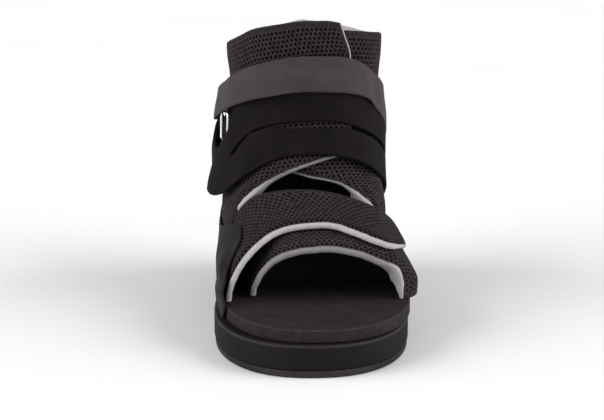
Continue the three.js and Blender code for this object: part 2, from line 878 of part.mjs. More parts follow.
const ankleLow = curve(ANKLE_EDGES, 1);
const ankleTop = curve(ANKLE_EDGES, 2);

// Extra lift of the ankle strap where it lies over the upper finger of the instep strap
function overlapLift(station, angle) {
  const over = smooth((angle + 64) / 17) * smooth((54 - angle) / 15);
  const low = smooth((149 - station) / 12);
  return 0.3 + (STRAP_WALL + 0.3) * over * low;
}

function makeAnkleStrap() {
  const angles = spread(-104, 118, 30);
  const rows = 5;
  const place = (i, j, face) => {
    const angle = angles[i];
    const station = lerp(ankleLow(angle), ankleTop(angle), j / rows);
    const lift = strapLift(angle) + overlapLift(station, angle);
    return lifted(station, angle, lift + face * STRAP_WALL);
  };
  return gridShell(30, rows, place, everyCell);
}

// Wire ring lying on the left quarter, its ends covered by the two straps
function makeRing() {
  const middle = formPoint(RING_STATION, RING_ANGLE);
  const out = formNormal(RING_STATION, RING_ANGLE);
  const up = formPoint(RING_STATION + 1, RING_ANGLE).sub(middle);
  up.addScaledVector(out, -up.dot(out)).normalize();
  const side = new THREE.Vector3().crossVectors(up, out).normalize();
  const lift = QUARTER_WALL + COUNTER_GAP + RING_WIRE;
  const tall = RING_HALF_HEIGHT - RING_CORNER;
  const wide = RING_HALF_WIDTH - RING_CORNER;
  const path = [];
  for (let k = 0; k < 24; k += 1) {
    const turn = (2 * Math.PI * (k + 0.5)) / 24;
    const a = Math.sign(Math.cos(turn)) * wide + RING_CORNER * Math.cos(turn);
    const b = Math.sign(Math.sin(turn)) * tall + RING_CORNER * Math.sin(turn);
    const bow = (a * a) / 90;
    path.push(middle.clone().addScaledVector(side, a).addScaledVector(up, b).addScaledVector(out, lift - bow));
  }
  const wire = new THREE.CatmullRomCurve3(path, true, "centripetal");
  return new THREE.TubeGeometry(wire, 32, RING_WIRE, 8, true);
}

const meshCloth = () => new THREE.MeshStandardMaterial({ color: 0x2f2a2a, roughness: 0.95 });
const greyTape = () => new THREE.MeshStandardMaterial({ color: 0xb0aaaa, roughness: 0.9 });
const smoothCloth = () => new THREE.MeshStandardMaterial({ color: 0x2b2828, roughness: 0.85 });
const blackStrap = () => new THREE.MeshStandardMaterial({ color: 0x211e1e, roughness: 0.85 });
const greyStrap = () => new THREE.MeshStandardMaterial({ color: 0x484346, roughness: 0.8 });
const foam = () => new THREE.MeshStandardMaterial({ color: 0x302b2b, roughness: 0.9 });
const soleFoam = () => new THREE.MeshStandardMaterial({ color: 0x242021, roughness: 0.8 });
const rubber = () => new THREE.MeshStandardMaterial({ color: 0x3a3636, roughness: 0.7 });
const steel = () => new THREE.MeshStandardMaterial({ color: 0xc4c2bc, roughness: 0.25, metalness: 1 });

const PIECES = [
  ["tread_layer", makeTread, rubber],
  ["sole_block", makeSoleBlock, soleFoam],
  ["insole", makeInsole, foam],
  ["toe_flap_inner", () => makeToeFlap(innerFlapFront, innerLift, 180, drawn), meshCloth],
  ["toe_inner_binding", () => makeToeBinding(innerFlapFront, innerLift, 180, drawn), greyTape],
  ["toe_flap_outer", () => makeToeFlap(outerFlapFront, outerLift, OUTER_FLAP_END, lifted), meshCloth],
  ["toe_outer_binding", () => makeToeBinding(outerFlapFront, outerLift, OUTER_FLAP_END, lifted), greyTape],
  ["quarter_right", makeQuarterRight, meshCloth],
  ["quarter_right_binding", makeRightBinding, greyTape],
  ["quarter_left", makeQuarterLeft, meshCloth],
  ["quarter_left_binding", makeLeftBinding, greyTape],
  ["quarter_left_edge_tape", makeEdgeTape, greyTape],
  ["heel_counter", makeHeelCounter, smoothCloth],
  ["strap_ring", makeRing, steel],
  ["instep_strap", makeInstepStrap, blackStrap],
  ["ankle_strap", makeAnkleStrap, greyStrap],
];

const shoe = new THREE.Group();
shoe.name = "postoperative_shoe";
for (const [name, makeGeometry, makeMaterial] of PIECES) {
  const piece = new THREE.Mesh(makeGeometry(), makeMaterial());
  piece.name = name;
  shoe.add(piece);
}

export default shoe;
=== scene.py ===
"""Postoperative shoe: fine surfaces, materials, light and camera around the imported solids.

Lengths are in millimetres until a mesh is written, which is in metres. The toe points to -Y.
"""
import math

import bpy
import numpy as np
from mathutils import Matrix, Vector


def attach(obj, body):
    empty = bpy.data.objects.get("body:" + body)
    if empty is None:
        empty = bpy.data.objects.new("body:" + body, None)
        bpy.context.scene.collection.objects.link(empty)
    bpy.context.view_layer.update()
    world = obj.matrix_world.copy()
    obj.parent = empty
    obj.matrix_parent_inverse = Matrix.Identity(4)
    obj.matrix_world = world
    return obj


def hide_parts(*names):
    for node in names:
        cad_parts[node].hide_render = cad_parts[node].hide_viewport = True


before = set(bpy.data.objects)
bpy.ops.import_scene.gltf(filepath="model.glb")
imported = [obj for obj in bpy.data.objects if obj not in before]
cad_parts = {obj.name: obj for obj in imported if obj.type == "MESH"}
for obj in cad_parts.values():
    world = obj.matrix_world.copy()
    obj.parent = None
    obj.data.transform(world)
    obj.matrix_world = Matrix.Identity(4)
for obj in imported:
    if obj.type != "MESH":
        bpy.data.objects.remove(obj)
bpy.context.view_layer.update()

MM = 0.001

# Sole stack
SOLE_LENGTH = 285
SOLE_HALF_WIDTH = 58
HEEL_HALF_WIDTH = 46
TOE_CAP_LENGTH = 90
HEEL_CAP_LENGTH = 48
TOE_FULLNESS = 2.3
TOE_DRIFT = -1
TREAD_HEIGHT = 4
TREAD_INSET = 0.6
SOLE_TOP = 18.7
INSOLE_TOP = 26.5
INSOLE_TOE_LENGTH = 88
INSOLE_HEEL_LENGTH = 43
INSOLE_TOE_FULLNESS = 2.2
INSOLE_DISH = 0.5
GAP = 0.3
SOLE_RING_STEPS = 90
ROUND_STEPS = 6
FACE_SHARES = (0.02, 0.3, 0.6, 0.85, 0.96)
SIDE_ROW = len(FACE_SHARES) + ROUND_STEPS
SIDE, EDGE = 1, 2

# Cloth thicknesses
QUARTER_WALL = 4.5
TOE_WALL = 4.2
COUNTER_WALL = 1.8
COUNTER_GAP = 0.9
STRAP_WALL = 2.2
TOE_BINDING_WIDTH = 4
TOE_BINDING_THICK = 3.4
EDGE_TAPE_ANGLE = 1.6
TAPE_START = 111
TAPE_END = 182
WALL_FOOT = SOLE_TOP + GAP
FLAP_FOOT = INSOLE_TOP + GAP

# Bend of the foot form
PIVOT_Y = -60
PIVOT_Z = 173.5
SPINE_RADIUS = 110
QUARTER_TURN = SPINE_RADIUS * math.pi / 2

# Wire ring
RING_STATION = 118.5
RING_ANGLE = -64
RING_HALF_HEIGHT = 9.5
RING_HALF_WIDTH = 6.5
RING_CORNER = 3
RING_WIRE = 1.1
RING_POINTS = 96
RING_BEND = 90
WIRE_SIDES = 14

# Foot form sections: station, top radius, bottom radius, half width, radius of the widest place,
# fullness left, fullness right, sideways shift
FORM_SECTIONS = [
    [-90, 126, 190, 51.5, 141, 2, 2.5, 1.5], [-45, 122, 190, 53, 141, 2, 2.5, 1.5],
    [-20, 117.5, 190, 54, 141, 2, 2.55, 1.5], [0, 111, 190, 54.2, 141, 2.05, 2.6, 1.5],
    [28.8, 107.3, 200, 52.7, 144, 2.2, 2.6, 1.3], [57.6, 107, 222, 49.8, 152, 2.4, 2.4, 0.3],
    [86.4, 103, 250, 47.6, 160, 2.3, 2.3, -1.1], [103.7, 100.5, 240, 47.6, 158, 2.25, 2.25, -1.2],
    [124.8, 95.4, 209, 48, 148, 2.2, 2.2, -1.2], [138.2, 92.4, 195, 45.8, 142.5, 2.15, 2.15, -0.7],
    [151.7, 90.6, 188, 44.4, 139, 2.1, 2.1, 0], [172.8, 89.1, 185.5, 46, 137, 2.1, 2.1, 0],
    [197.8, 89.5, 186, 47.2, 137, 2.1, 2.1, 0],
]

# Insole sides: y, half width left, half width right
INSOLE_SIDES = [
    [-50, 53.5, 59.5], [-20, 51.6, 56.8], [0, 49, 51.5], [8, 46.5, 48], [30, 45.2, 45.5], [58, 43.2, 42],
    [85, 39.5, 37.2],
]

# Toe flap edges: angle, front of the outer flap, front of the inner flap, rear of both
TOE_EDGES = [
    [-104, -14, -1, 46], [-95, -15, -2.5, 46], [-86, -14.8, -5, 46], [-79, -14.2, -7, 46], [-72, -12.3, -9, 46],
    [-65, -9.4, -10.5, 46], [-57, -5.5, -12, 51.5], [-49, -0.8, -13.3, 54], [-40, 4, -14, 55.5],
    [-28, 7, -13.8, 54], [-15, 8.2, -13, 53], [0, 8.7, -12.8, 52], [10, 9.1, -12, 50.5], [23, 7.3, -12.3, 48],
    [34, 2.5, -13.5, 45.5], [45, -2.3, -15, 44.5], [54, -5.4, -16.2, 44.5], [61, -6, -16.6, 46],
    [66, -2.6, -15.2, 46.5], [69, 6, -14.6, 46.5], [72, 16, -14, 46.5], [76, 21, -13.2, 46.5],
    [86, 24, -10.4, 46.5], [104, 28, -8, 46.5],
]

# Toe flap lift of the inner face off the foot form: angle, inner flap, outer flap
TOE_LIFTS = [
    [-106, -8, -4.6], [-95, -8, -5.2], [-86, -8, -6.4], [-79, -7.8, -5.6], [-72, -7.4, -3.7], [-65, -6.8, -1.9],
    [-57, -6, -0.8], [-42, -4.9, -0.1], [0, -4.3, 0.5], [50, -3.4, 1.4], [72, -1.6, 3.2], [88, 4.6, 9.4],
    [98, 4.4, 9.2], [106, 3, 7.8],
]
OUTER_FLAP_END = 73
FLAP_SETTLE = 24
FLAP_TUCK_REACH = 15

# Inner toe flap, tuck of its front edge at the right: angle, tuck
INNER_TUCKS = [
    [50, 0], [60, 1.7], [67, 3], [72, 2.6], [74, 2.8], [77, 4.5], [80, 6.6], [84, 8.7], [90, 9.2], [96, 8.6],
    [106, 8],
]

# Inner toe flap, draw of its left end towards the middle of the shoe: angle, draw
INNER_DRAWS = [
    [-106, 10.5], [-92, 12.6], [-82, 13.8], [-72, 12.6], [-57, 8.2], [-40, 3], [-24, 0.3], [-18, 0],
]

# Left quarter, lower edge in front: angle, station
LEFT_QUARTER_LOW = [
    [-180, 47], [-63, 47], [-57, 53], [-52, 54.6], [-42, 57], [-33, 59.7], [-20, 64.7], [-8, 69.8], [4, 74.8],
    [14, 80.2], [30, 90],
]

# Left quarter, free edge: station, angle
LEFT_QUARTER_FREE = [
    [70, 19], [86, 21], [104, 27], [124, 31], [155, 31], [173, 26], [184, 22],
]

# Left quarter, rim: angle, station
LEFT_QUARTER_RIM = [
    [-180, 173.5], [-150, 169.5], [-120, 166], [-90, 166], [-68, 168], [-54, 171], [-40, 175.7], [-20, 179.5],
    [0, 182], [12, 182], [30, 179],
]

# Right quarter, lower edge in front: angle, station
RIGHT_QUARTER_LOW = [
    [-16, 74.5], [-6, 71], [4, 67.8], [15, 66.4], [24, 65.2], [34, 60.8], [42, 56.3], [49, 51.8], [53, 48.4],
    [57, 47], [180, 47],
]

# Right quarter, rim: angle, station
RIGHT_QUARTER_RIM = [
    [-16, 176], [27, 175], [41, 174], [63, 172], [90, 170.5], [120, 169.5], [150, 171.5], [180, 173.5],
]
RIGHT_QUARTER_FREE = -13
BACK_SEAM = 179.7

# Quarter lift of the inner face off the foot form: angle, left quarter, right quarter
QUARTER_LIFTS = [
    [-180, 0, 0], [-52, 0, -2.6], [-16, 2.5, -2.6], [36, 2.5, -2.6], [60, 2.5, 0], [180, 2.5, 0],
]

# Rolled bindings of the quarters: angle, width, thickness
LEFT_BINDING = [
    [-60, 1.6, 1.4], [-53, 5.6, 3], [-44, 6.4, 3.4], [-33, 5.2, 3], [-20, 3.4, 2.2], [4, 2.4, 1.8], [30, 2, 1.6],
]
RIGHT_BINDING = [
    [-16, 1.5, 1.2], [18, 1.6, 1.2], [30, 2.8, 1.9], [38, 5.8, 3.2], [46, 6.4, 3.4], [51, 4.2, 2.8],
    [54, 2.2, 1.8], [57, 1.4, 1.4],
]

# Heel counter round the back from right to left: angle, lower or front edge, top edge
COUNTER_EDGES = [
    [96, 60, 66], [104, 50, 80], [116, 50, 92], [140, 50, 105], [180, 50, 116], [220, 44, 107], [254, -18, 89],
    [266, -26, 81], [276, -16, 75], [281, -5, 67], [287, 3, 56], [292, 6.8, 47.5], [296, 10.4, 41],
    [300, 19, 35], [302, 28, 32],
]
COUNTER_CREASE = 36.5
COUNTER_HUG = 14

# Two-finger instep strap: angle, low edge, slot low side, slot high side, top edge
INSTEP_EDGES = [
    [-118, 103, 106, 109, 129], [-108, 100.5, 104, 108, 130], [-92, 95.5, 101, 106, 130],
    [-84, 92.5, 99, 104, 128.5], [-79, 89, 97, 102, 123], [-75, 86, 95.5, 99.5, 116], [-70, 81.5, 94.7, 98, 110],
    [-64, 77, 94.5, 97, 107.5], [-57, 73, 94, 96, 109.5], [-51, 72, 94, 95.5, 112.5], [-47, 72, 94.3, 95.5, 121],
    [-43, 72.3, 94.8, 98, 127], [-38, 73, 97.6, 100.8, 130], [-34, 74, 101, 103, 131],
    [-30, 75, 103.6, 105, 132], [-21, 77.5, 103.8, 106.4, 133], [-8, 80.3, 101.6, 107.1, 134],
    [8, 81, 101.4, 108.1, 134], [19, 81.3, 102.9, 108.7, 134], [26, 81.7, 104.3, 108.4, 133],
    [33, 82, 104.2, 108, 131], [41, 83.2, 104.4, 107.9, 127.2], [58, 87.5, 106, 109, 122.5],
    [82, 92, 106.5, 109, 118], [108, 96, 105.5, 108, 116], [118, 98, 103, 109, 114],
]
SLOT_START = -47

# Ankle strap: angle, low edge, top edge
ANKLE_EDGES = [
    [-104, 128, 138], [-92, 126, 140], [-75, 125, 140.5], [-62, 124.5, 141.5], [-53, 124.5, 143.5],
    [-41, 125, 148], [-30, 126, 151.5], [-20, 127, 154], [-10, 129, 156], [0, 130, 157], [18, 130, 157],
    [30, 129.5, 155], [42, 127.5, 151], [56, 124, 146], [82, 119.5, 141], [108, 118, 139], [118, 120, 137],
]

# Strap lift of the inner face off the foot form: angle, lift
STRAP_LIFTS = [
    [-180, 8], [-52, 8], [-30, 7.7], [26, 7.7], [38, 7.3], [54, 5.4], [180, 5.3],
]

# Air mesh: staggered holes with rounded threads between them
MESH_PITCH = 3.4
MESH_ROW = 2.9
HOLE_SHARE = 0.58
HOLE_STRETCH = 1.05
CORE_DROP = 0.75
HEM_WIDTH = 1.8
RIM_ROUND = 1.5
RIM_LINING = 30
FLAP_LINING = 10
MESH, HOLE, LINING, HEM, INNER_AND_SLOT_SHADE = range(5)
CELL_CORNERS = np.array([[0, -4], [1, -3], [2, -2], [2, 0], [2, 2], [1, 3],
                         [0, 4], [-1, 3], [-2, 2], [-2, 0], [-2, -2], [-1, -3]])
CELL_MARGIN = 0.5
CELL_INSET = 0.3
CELL_ORIGIN = 64
CELL_ROW = 4096
# Heights over the cloth: thread between two nodes, node, shoulder of a hole, its side, its bottom
THREAD_HEIGHTS = (0.2, 0.08, 0.12, -0.3, -0.68)

# Soft shapes of the upper: how far each one goes, in millimetres
SWELL_ABOVE = 1.1
SWELL_BELOW = 0.8
NECK_LEFT = 2.0
NECK_RIGHT = 1.0
WAIST_DENT = 4.4
WAIST_STATION = 64.5
WAIST_REACH = 8.5
FLAP_SQUEEZE = 0.85
CORNER_GUSSET = 4.2
LEFT_TURN = 3.6
RIGHT_TURN = 5.0
CREASE_DEPTH = 2.2
CREASE_REACH = 3.5
FRONT_DROP = 1.6
BESIDE_LIFT = 2.9
BESIDE_GAP = 0.5
STRAP_EDGE = 0.5
STRAP_TUCK = 2.6
TAB_LOOSE = 2.0
TAB_FLARE = 4.2
BINDING_LEFT_START = -58
BINDING_RIGHT_START = 54
SETTLE_ROUNDS = 10

# Light and camera
FLOOR_HALF = 6.0
FLOOR_DROP = 0.0003
WORLD_STRENGTH = 0.45
SUN_ANGLE = 60
SUN_STRENGTH = 2.85
SENSOR_WIDTH = 36
PICTURE_WIDTH = 604
FOCAL_PIXELS = 1863
CAMERA_PLACE = (-0.03987, -1.1418, 0.300)
CAMERA_TURN = 1.823
CAMERA_PITCH = 11.53


def smooth(t):
    t = np.clip(t, 0.0, 1.0)
    return t * t * (3 - 2 * t)


def mix(a, b, t):
    return a + (b - a) * t


def window(value, start, rise, end, fall):
    """1 between two values, eased in over rise after the start and out over fall before the end."""
    return smooth((value - start) / rise) * smooth((end - value) / fall)


def curve(table, column=1):
    """Smooth curve through one column of a table, with no overshoot between its rows."""
    rows = np.array(table, float)
    x, y = rows[:, 0], rows[:, column]
    steps = np.diff(y) / np.diff(x)
    before = np.concatenate([steps[:1], steps])
    after = np.concatenate([steps, steps[-1:]])
    product = before * after
    total = np.where(product > 0, before + after, 1.0)
    slopes = np.where(product > 0, 2 * product / total, 0.0)

    def at(value):
        v = np.clip(np.asarray(value, float), x[0], x[-1])
        i = np.clip(np.searchsorted(x, v, side="right") - 1, 0, len(x) - 2)
        span = x[i + 1] - x[i]
        t = (v - x[i]) / span
        rest = 1 - t
        start = rest * rest * (1 + 2 * t) * y[i] + rest * rest * t * span * slopes[i]
        end = t * t * (3 - 2 * t) * y[i + 1] - t * t * rest * span * slopes[i + 1]
        return start + end

    return at


def columns(table):
    """Smooth curves through all the columns of a table after its first."""
    return [curve(table, column) for column in range(1, len(table[0]))]


form_top, form_bottom, form_half, form_mid, full_left, full_right, form_shift = columns(FORM_SECTIONS)
insole_left, insole_right = columns(INSOLE_SIDES)
outer_flap_front, inner_flap_front, flap_rear = columns(TOE_EDGES)
inner_flap_lift, outer_flap_lift = columns(TOE_LIFTS)
inner_tuck, inner_draw = curve(INNER_TUCKS), curve(INNER_DRAWS)
left_low, left_free, left_rim = curve(LEFT_QUARTER_LOW), curve(LEFT_QUARTER_FREE), curve(LEFT_QUARTER_RIM)
right_low, right_rim = curve(RIGHT_QUARTER_LOW), curve(RIGHT_QUARTER_RIM)
left_lift, right_lift = columns(QUARTER_LIFTS)
left_binding_wide, left_binding_thick = columns(LEFT_BINDING)
right_binding_wide, right_binding_thick = columns(RIGHT_BINDING)
counter_low, counter_top = columns(COUNTER_EDGES)
instep_low, slot_low, slot_high, instep_top = columns(INSTEP_EDGES)
ankle_low, ankle_top = columns(ANKLE_EDGES)
strap_lift = curve(STRAP_LIFTS)


def form_point(station, angle):
    """Point of the foot form at a station along the bend and an angle round the section."""
    station, angle = np.broadcast_arrays(np.asarray(station, float), np.asarray(angle, float))
    turn = np.radians(angle)
    across, along = np.sin(turn), np.cos(turn)
    mid = form_mid(station)
    reach = np.where(along >= 0, mid - form_top(station), form_bottom(station) - mid)
    power = np.where(across < 0, full_left(station), full_right(station))
    total = np.abs(across / form_half(station)) ** power + np.abs(along / reach) ** power
    size = total ** (-1 / power)
    radius = mid - size * along
    bend = np.clip(station, 0, QUARTER_TURN) / SPINE_RADIUS
    x = size * across + form_shift(station)
    y = PIVOT_Y + np.minimum(station, 0) + radius * np.sin(bend)
    z = PIVOT_Z + np.maximum(station - QUARTER_TURN, 0) - radius * np.cos(bend)
    return np.stack([x, y, z], -1)


def unit(v):
    return v / np.maximum(np.linalg.norm(v, axis=-1, keepdims=True), 1e-12)


def form_normal(station, angle):
    along = form_point(station + 0.5, angle) - form_point(station - 0.5, angle)
    around = form_point(station, angle + 0.5) - form_point(station, angle - 0.5)
    return unit(np.cross(around, along))


def lifted(station, angle, lift):
    station, angle = np.broadcast_arrays(np.asarray(station, float), np.asarray(angle, float))
    lift = np.broadcast_to(np.asarray(lift, float), station.shape)
    return form_point(station, angle) + form_normal(station, angle) * lift[..., None]


def halve(low, high, goes_up):
    """Bisection of arrays: goes_up tells where the middle is still below the answer."""
    for _ in range(36):
        middle = (low + high) / 2
        up = goes_up(middle)
        low, high = np.where(up, middle, low), np.where(up, high, middle)
    return (low + high) / 2


def foot_angle(station, level):
    """Angle on one side at which a section of the foot form comes down to a level."""
    station = np.asarray(station, float)
    low, high = np.full(station.shape, 80.0), np.full(station.shape, 180.0)
    return halve(low, high, lambda a: form_point(station, a)[..., 2] > level)


def foot_station(angle, level):
    """Station at which the foot form comes down to a level at an angle below the widest place."""
    angle = np.asarray(angle, float)
    low, high = np.full(angle.shape, -60.0), np.full(angle.shape, 125.0)
    return halve(low, high, lambda s: form_point(s, angle)[..., 2] < level)


def step_across(edge, angle, width):
    """Step in station that gives a width square to an edge running across the stations."""
    station = edge(angle)
    run = unit(form_point(edge(angle + 1), angle + 1) - form_point(edge(angle - 1), angle - 1))
    rise = form_point(station + 0.5, angle) - form_point(station - 0.5, angle)
    rise = rise - run * np.sum(rise * run, -1, keepdims=True)
    return width / np.linalg.norm(rise, axis=-1)


class Skin:
    """Points, faces, face materials and cloth coordinates of one piece."""

    def __init__(self):
        self.points, self.faces, self.paint, self.cloth = [], [], [], []
        self.count = 0

    def add(self, points, faces=None, paint=0, cloth=None):
        points = np.asarray(points, float).reshape(-1, 3)
        start = self.count
        self.points.append(points)
        self.cloth.append(np.zeros((len(points), 2)) if cloth is None else np.asarray(cloth).reshape(-1, 2))
        self.count += len(points)
        if faces is not None:
            self.join(np.asarray(faces) + start, paint)
        return start

    def join(self, faces, paint=0):
        faces = np.asarray(faces, int)
        self.faces.append(faces)
        self.paint.append(np.broadcast_to(np.asarray(paint, int), (len(faces),)))


def grid_faces(rows, columns, close_rows=False, close_columns=False):
    """Quads over a grid of points, numbered row by row."""
    i = np.arange(rows if close_rows else rows - 1)
    j = np.arange(columns if close_columns else columns - 1)
    i, j = np.meshgrid(i, j, indexing="ij")
    i, j = i.ravel(), j.ravel()
    a, b = i * columns + j, ((i + 1) % rows) * columns + j
    c, d = ((i + 1) % rows) * columns + (j + 1) % columns, i * columns + (j + 1) % columns
    return np.stack([a, b, c, d], 1)


def border_loops(quads):
    """Loops of border points of a set of quads, each walked with the quads on its left."""
    edges = np.concatenate([quads[:, [k, (k + 1) % 4]] for k in range(4)])
    found = {(a, b) for a, b in edges.tolist()}
    following = {a: b for a, b in sorted(found) if (b, a) not in found}
    loops = []
    while following:
        first = next(iter(following))
        loop = [first]
        at = following.pop(first)
        while at != first:
            loop.append(at)
            at = following.pop(at)
        loops.append(np.array(loop))
    return loops


def shell(skin, outer, inner, paints, keep, segments, bulge, cloth):
    """Closed wall between an outer and an inner grid, with a rounded border.

    paints: outer face, inner face, outer half of the border, inner half of the border by point.
    """
    rows, columns = outer.shape[:2]
    quads = grid_faces(rows, columns)
    if keep is not None:
        quads = quads[keep.ravel()]
    flat_cloth = cloth.reshape(-1, 2)
    top = skin.add(outer, quads, paints[0], flat_cloth)
    low = skin.add(inner, quads[:, ::-1], paints[1], flat_cloth)
    outside, inside = outer.reshape(-1, 3), inner.reshape(-1, 3)
    inner_border = np.broadcast_to(paints[3], (rows, columns)).ravel()
    for loop in border_loops(quads):
        middle, half = (outside[loop] + inside[loop]) / 2, (outside[loop] - inside[loop]) / 2
        run = unit(np.roll(middle, -1, 0) - np.roll(middle, 1, 0))
        away = unit(np.cross(run, half)) * np.linalg.norm(half, axis=1, keepdims=True) * bulge
        before = top + loop
        for k in range(1, segments + 1):
            if k < segments:
                turn = math.pi * k / segments
                ring = middle + half * math.cos(turn) + away * math.sin(turn)
                now = skin.add(ring, cloth=flat_cloth[loop]) + np.arange(len(loop))
            else:
                now = low + loop
            band = np.stack([np.roll(before, -1), before, now, np.roll(now, -1)], 1)
            skin.join(band, paints[2] if 2 * k <= segments else inner_border[loop])
            before = now


def loft(skin, rings, paint=0, cloth=None):
    """Skin over a row of closed rings, with fan caps."""
    rings = np.asarray(rings, float)
    count, size = rings.shape[:2]
    start = skin.add(rings, grid_faces(count, size, close_columns=True)[:, ::-1], paint, cloth)
    ends = np.broadcast_to(paint, ((count - 1) * size,))
    for ring, end in ((0, 0), (count - 1, -1)):
        hub = np.full(size, skin.add(rings[ring].mean(0)))
        a = start + ring * size + np.arange(size)
        b = np.roll(a, -1)
        skin.join(np.stack([a, b, hub] if end else [b, a, hub], 1), ends[end])


def piece(name, skin, materials, nodes=()):
    """Blender object of a skin, in metres, riding on the shoe."""
    points = np.concatenate(skin.points) * MM
    mesh = bpy.data.meshes.new(name)
    mesh.vertices.add(len(points))
    mesh.vertices.foreach_set("co", points.astype(np.float32).ravel())
    corners = np.concatenate([f.ravel() for f in skin.faces])
    sizes = np.concatenate([np.full(len(f), f.shape[1]) for f in skin.faces])
    starts = np.concatenate([[0], np.cumsum(sizes)[:-1]])
    mesh.loops.add(len(corners))
    mesh.loops.foreach_set("vertex_index", corners.astype(np.int32))
    mesh.polygons.add(len(sizes))
    mesh.polygons.foreach_set("loop_start", starts.astype(np.int32))
    mesh.polygons.foreach_set("loop_total", sizes.astype(np.int32))
    mesh.polygons.foreach_set("material_index", np.concatenate(skin.paint).astype(np.int32))
    mesh.polygons.foreach_set("use_smooth", np.ones(len(sizes), bool))
    for key in materials:
        mesh.materials.append(paint[key])
    mesh.update(calc_edges=True)
    cloth = mesh.attributes.new("cloth_mm", "FLOAT_VECTOR", "POINT")
    flat = np.concatenate(skin.cloth)
    cloth.data.foreach_set("vector", np.column_stack([flat, np.zeros(len(flat))]).astype(np.float32).ravel())
    mesh.validate()
    made = bpy.data.objects.new(name, mesh)
    bpy.context.scene.collection.objects.link(made)
    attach(made, "root")
    if nodes:
        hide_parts(*nodes)
    return made


# Materials: name, roughness, specular level, darker and lighter shade, scale of the change between them and
# layers of fine relief from the lowest up: kind, scale or threads for each millimetre, strength, depth in metres
SURFACES = {
    "mesh": ("air_mesh", 0.85, 0.1, (0.02, 0.0158, 0.0158), (0.039, 0.031, 0.031), 260,
             [("noise", 2600, 0.5, 0.00025)]),
    "hole": ("mesh_hole", 1.0, 0.03, (0.003, 0.0024, 0.0024), (0.008, 0.0065, 0.0065), 900, []),
    "hem": ("mesh_hem", 0.88, 0.08, (0.0165, 0.0131, 0.0131), (0.029, 0.023, 0.023), 420,
            [("noise", 2200, 0.6, 0.0003)]),
    "lining": ("grey_lining", 0.9, 0.1, (0.35, 0.329, 0.326), (0.44, 0.414, 0.41), 350,
               [("cells", 1500, 0.55, 0.0004)]),
    # The inner lining also serves as painted shade on the mesh in the straps' slot
    "inner": ("inner_lining_and_slot_shade", 0.95, 0.05, (0.023, 0.0176, 0.0168), (0.038, 0.029, 0.028), 350,
              [("cells", 1500, 0.5, 0.0004)]),
    "panel": ("smooth_panel", 0.7, 0.1, (0.0118, 0.0097, 0.0102), (0.018, 0.0149, 0.0155), 70,
              [("cells", 1900, 0.3, 0.0002)]),
    "black": ("black_strap", 0.85, 0.08, (0.0051, 0.0037, 0.0039), (0.0095, 0.0068, 0.0071), 55,
              [("noise", 2400, 0.4, 0.0002), ("weave", (1.8, 1.8), 0.25, 0.0002)]),
    "grey": ("grey_strap", 0.72, 0.14, (0.039, 0.032, 0.0363), (0.051, 0.0418, 0.0475), 60,
             [("noise", 2600, 0.25, 0.00015), ("weave", (1.5, 2.2), 0.3, 0.0002)]),
    "foam": ("insole_foam", 0.9, 0.08, (0.02, 0.0152, 0.0149), (0.0275, 0.021, 0.0206), 90,
             [("noise", 160, 0.12, 0.001), ("cells", 1400, 0.35, 0.0003)]),
    "foam_side": ("insole_side", 0.9, 0.08, (0.02, 0.0161, 0.0157), (0.0325, 0.0263, 0.0257), 240,
                  [("cells", 1400, 0.3, 0.0003), ("ribs", 0.55, 0.5, 0.0006)]),
    # Painted highlight: the insole's rounded upper edge is a lighter copy of the insole foam
    "foam_edge_highlight": ("insole_edge_highlight", 0.9, 0.08, (0.029, 0.0236, 0.0231), (0.04, 0.0328, 0.0321), 200,
                  [("cells", 1400, 0.3, 0.0003)]),
    "sole": ("sole_foam", 0.75, 0.1, (0.0071, 0.0055, 0.0058), (0.011, 0.0085, 0.009), 45,
             [("noise", 120, 0.1, 0.001), ("cells", 1700, 0.35, 0.0003)]),
    # Painted highlight: the sole block's rounded upper edge is a lighter, glossier copy of the sole foam
    "sole_edge_highlight": ("sole_edge_highlight", 0.6, 0.15, (0.018, 0.0149, 0.0153), (0.029, 0.0241, 0.0248), 120,
                  [("cells", 1700, 0.3, 0.0003)]),
    "tread": ("tread_rubber", 0.6, 0.2, (0.0199, 0.0161, 0.0167), (0.029, 0.0234, 0.0243), 80,
              [("noise", 1500, 0.4, 0.0003)]),
    "steel": ("ring_steel", 0.2, 0.5, (0.62, 0.6, 0.55), (0.78, 0.76, 0.71), 500, [("noise", 1200, 0.1, 0.0001)]),
    "light_thread": ("light_thread", 0.8, 0.1, (0.045, 0.039, 0.039), (0.08, 0.07, 0.07), 900,
                     [("noise", 4000, 0.5, 0.00015)]),
    "thread": ("dark_thread", 0.8, 0.1, (0.005, 0.0042, 0.0042), (0.0105, 0.0088, 0.0088), 900,
               [("noise", 4000, 0.5, 0.00015)]),
}
TAPE_DARK, TAPE_LIGHT = np.array((0.41, 0.387, 0.387)), np.array((0.5, 0.475, 0.475))
TAPE_RELIEF = [("noise", 1800, 0.25, 0.0002), ("weave", (2.2, 1.6), 0.35, 0.00025)]
# Tone of each copy of the tape; the toe and quarter copies are darker, with painted shade
TAPE_TONES = {"tape": 0.9, "tape_toe_shaded": 0.45, "tape_quarter_shaded": 0.38}

# Colours that turn to another one at the sides: that colour, start and end of the change to either side of a
# middle place, all in metres
SIDE_COLOURS = {
    # Painted shade: the toe and quarter tapes are darker in the middle, where shade falls on them, and turn back to
    # light tape at the sides
    "tape_toe_shaded": ((0.41, 0.387, 0.387), 0.032, 0.044, 0.01),
    "tape_quarter_shaded": ((0.37, 0.35, 0.35), 0.018, 0.038, 0.0),
    # Painted light: the tread stays lighter at the front middle and turns darker towards the sides
    "tread": ((0.0085, 0.0066, 0.007), 0.018, 0.04, 0.0),
}


def add_node(material, kind, **values):
    node = material.node_tree.nodes.new(kind)
    for key, value in values.items():
        if key in node.inputs:
            node.inputs[key].default_value = value
        else:
            setattr(node, key, value)
    return node


def wire(material, source, target):
    material.node_tree.links.new(source, target)


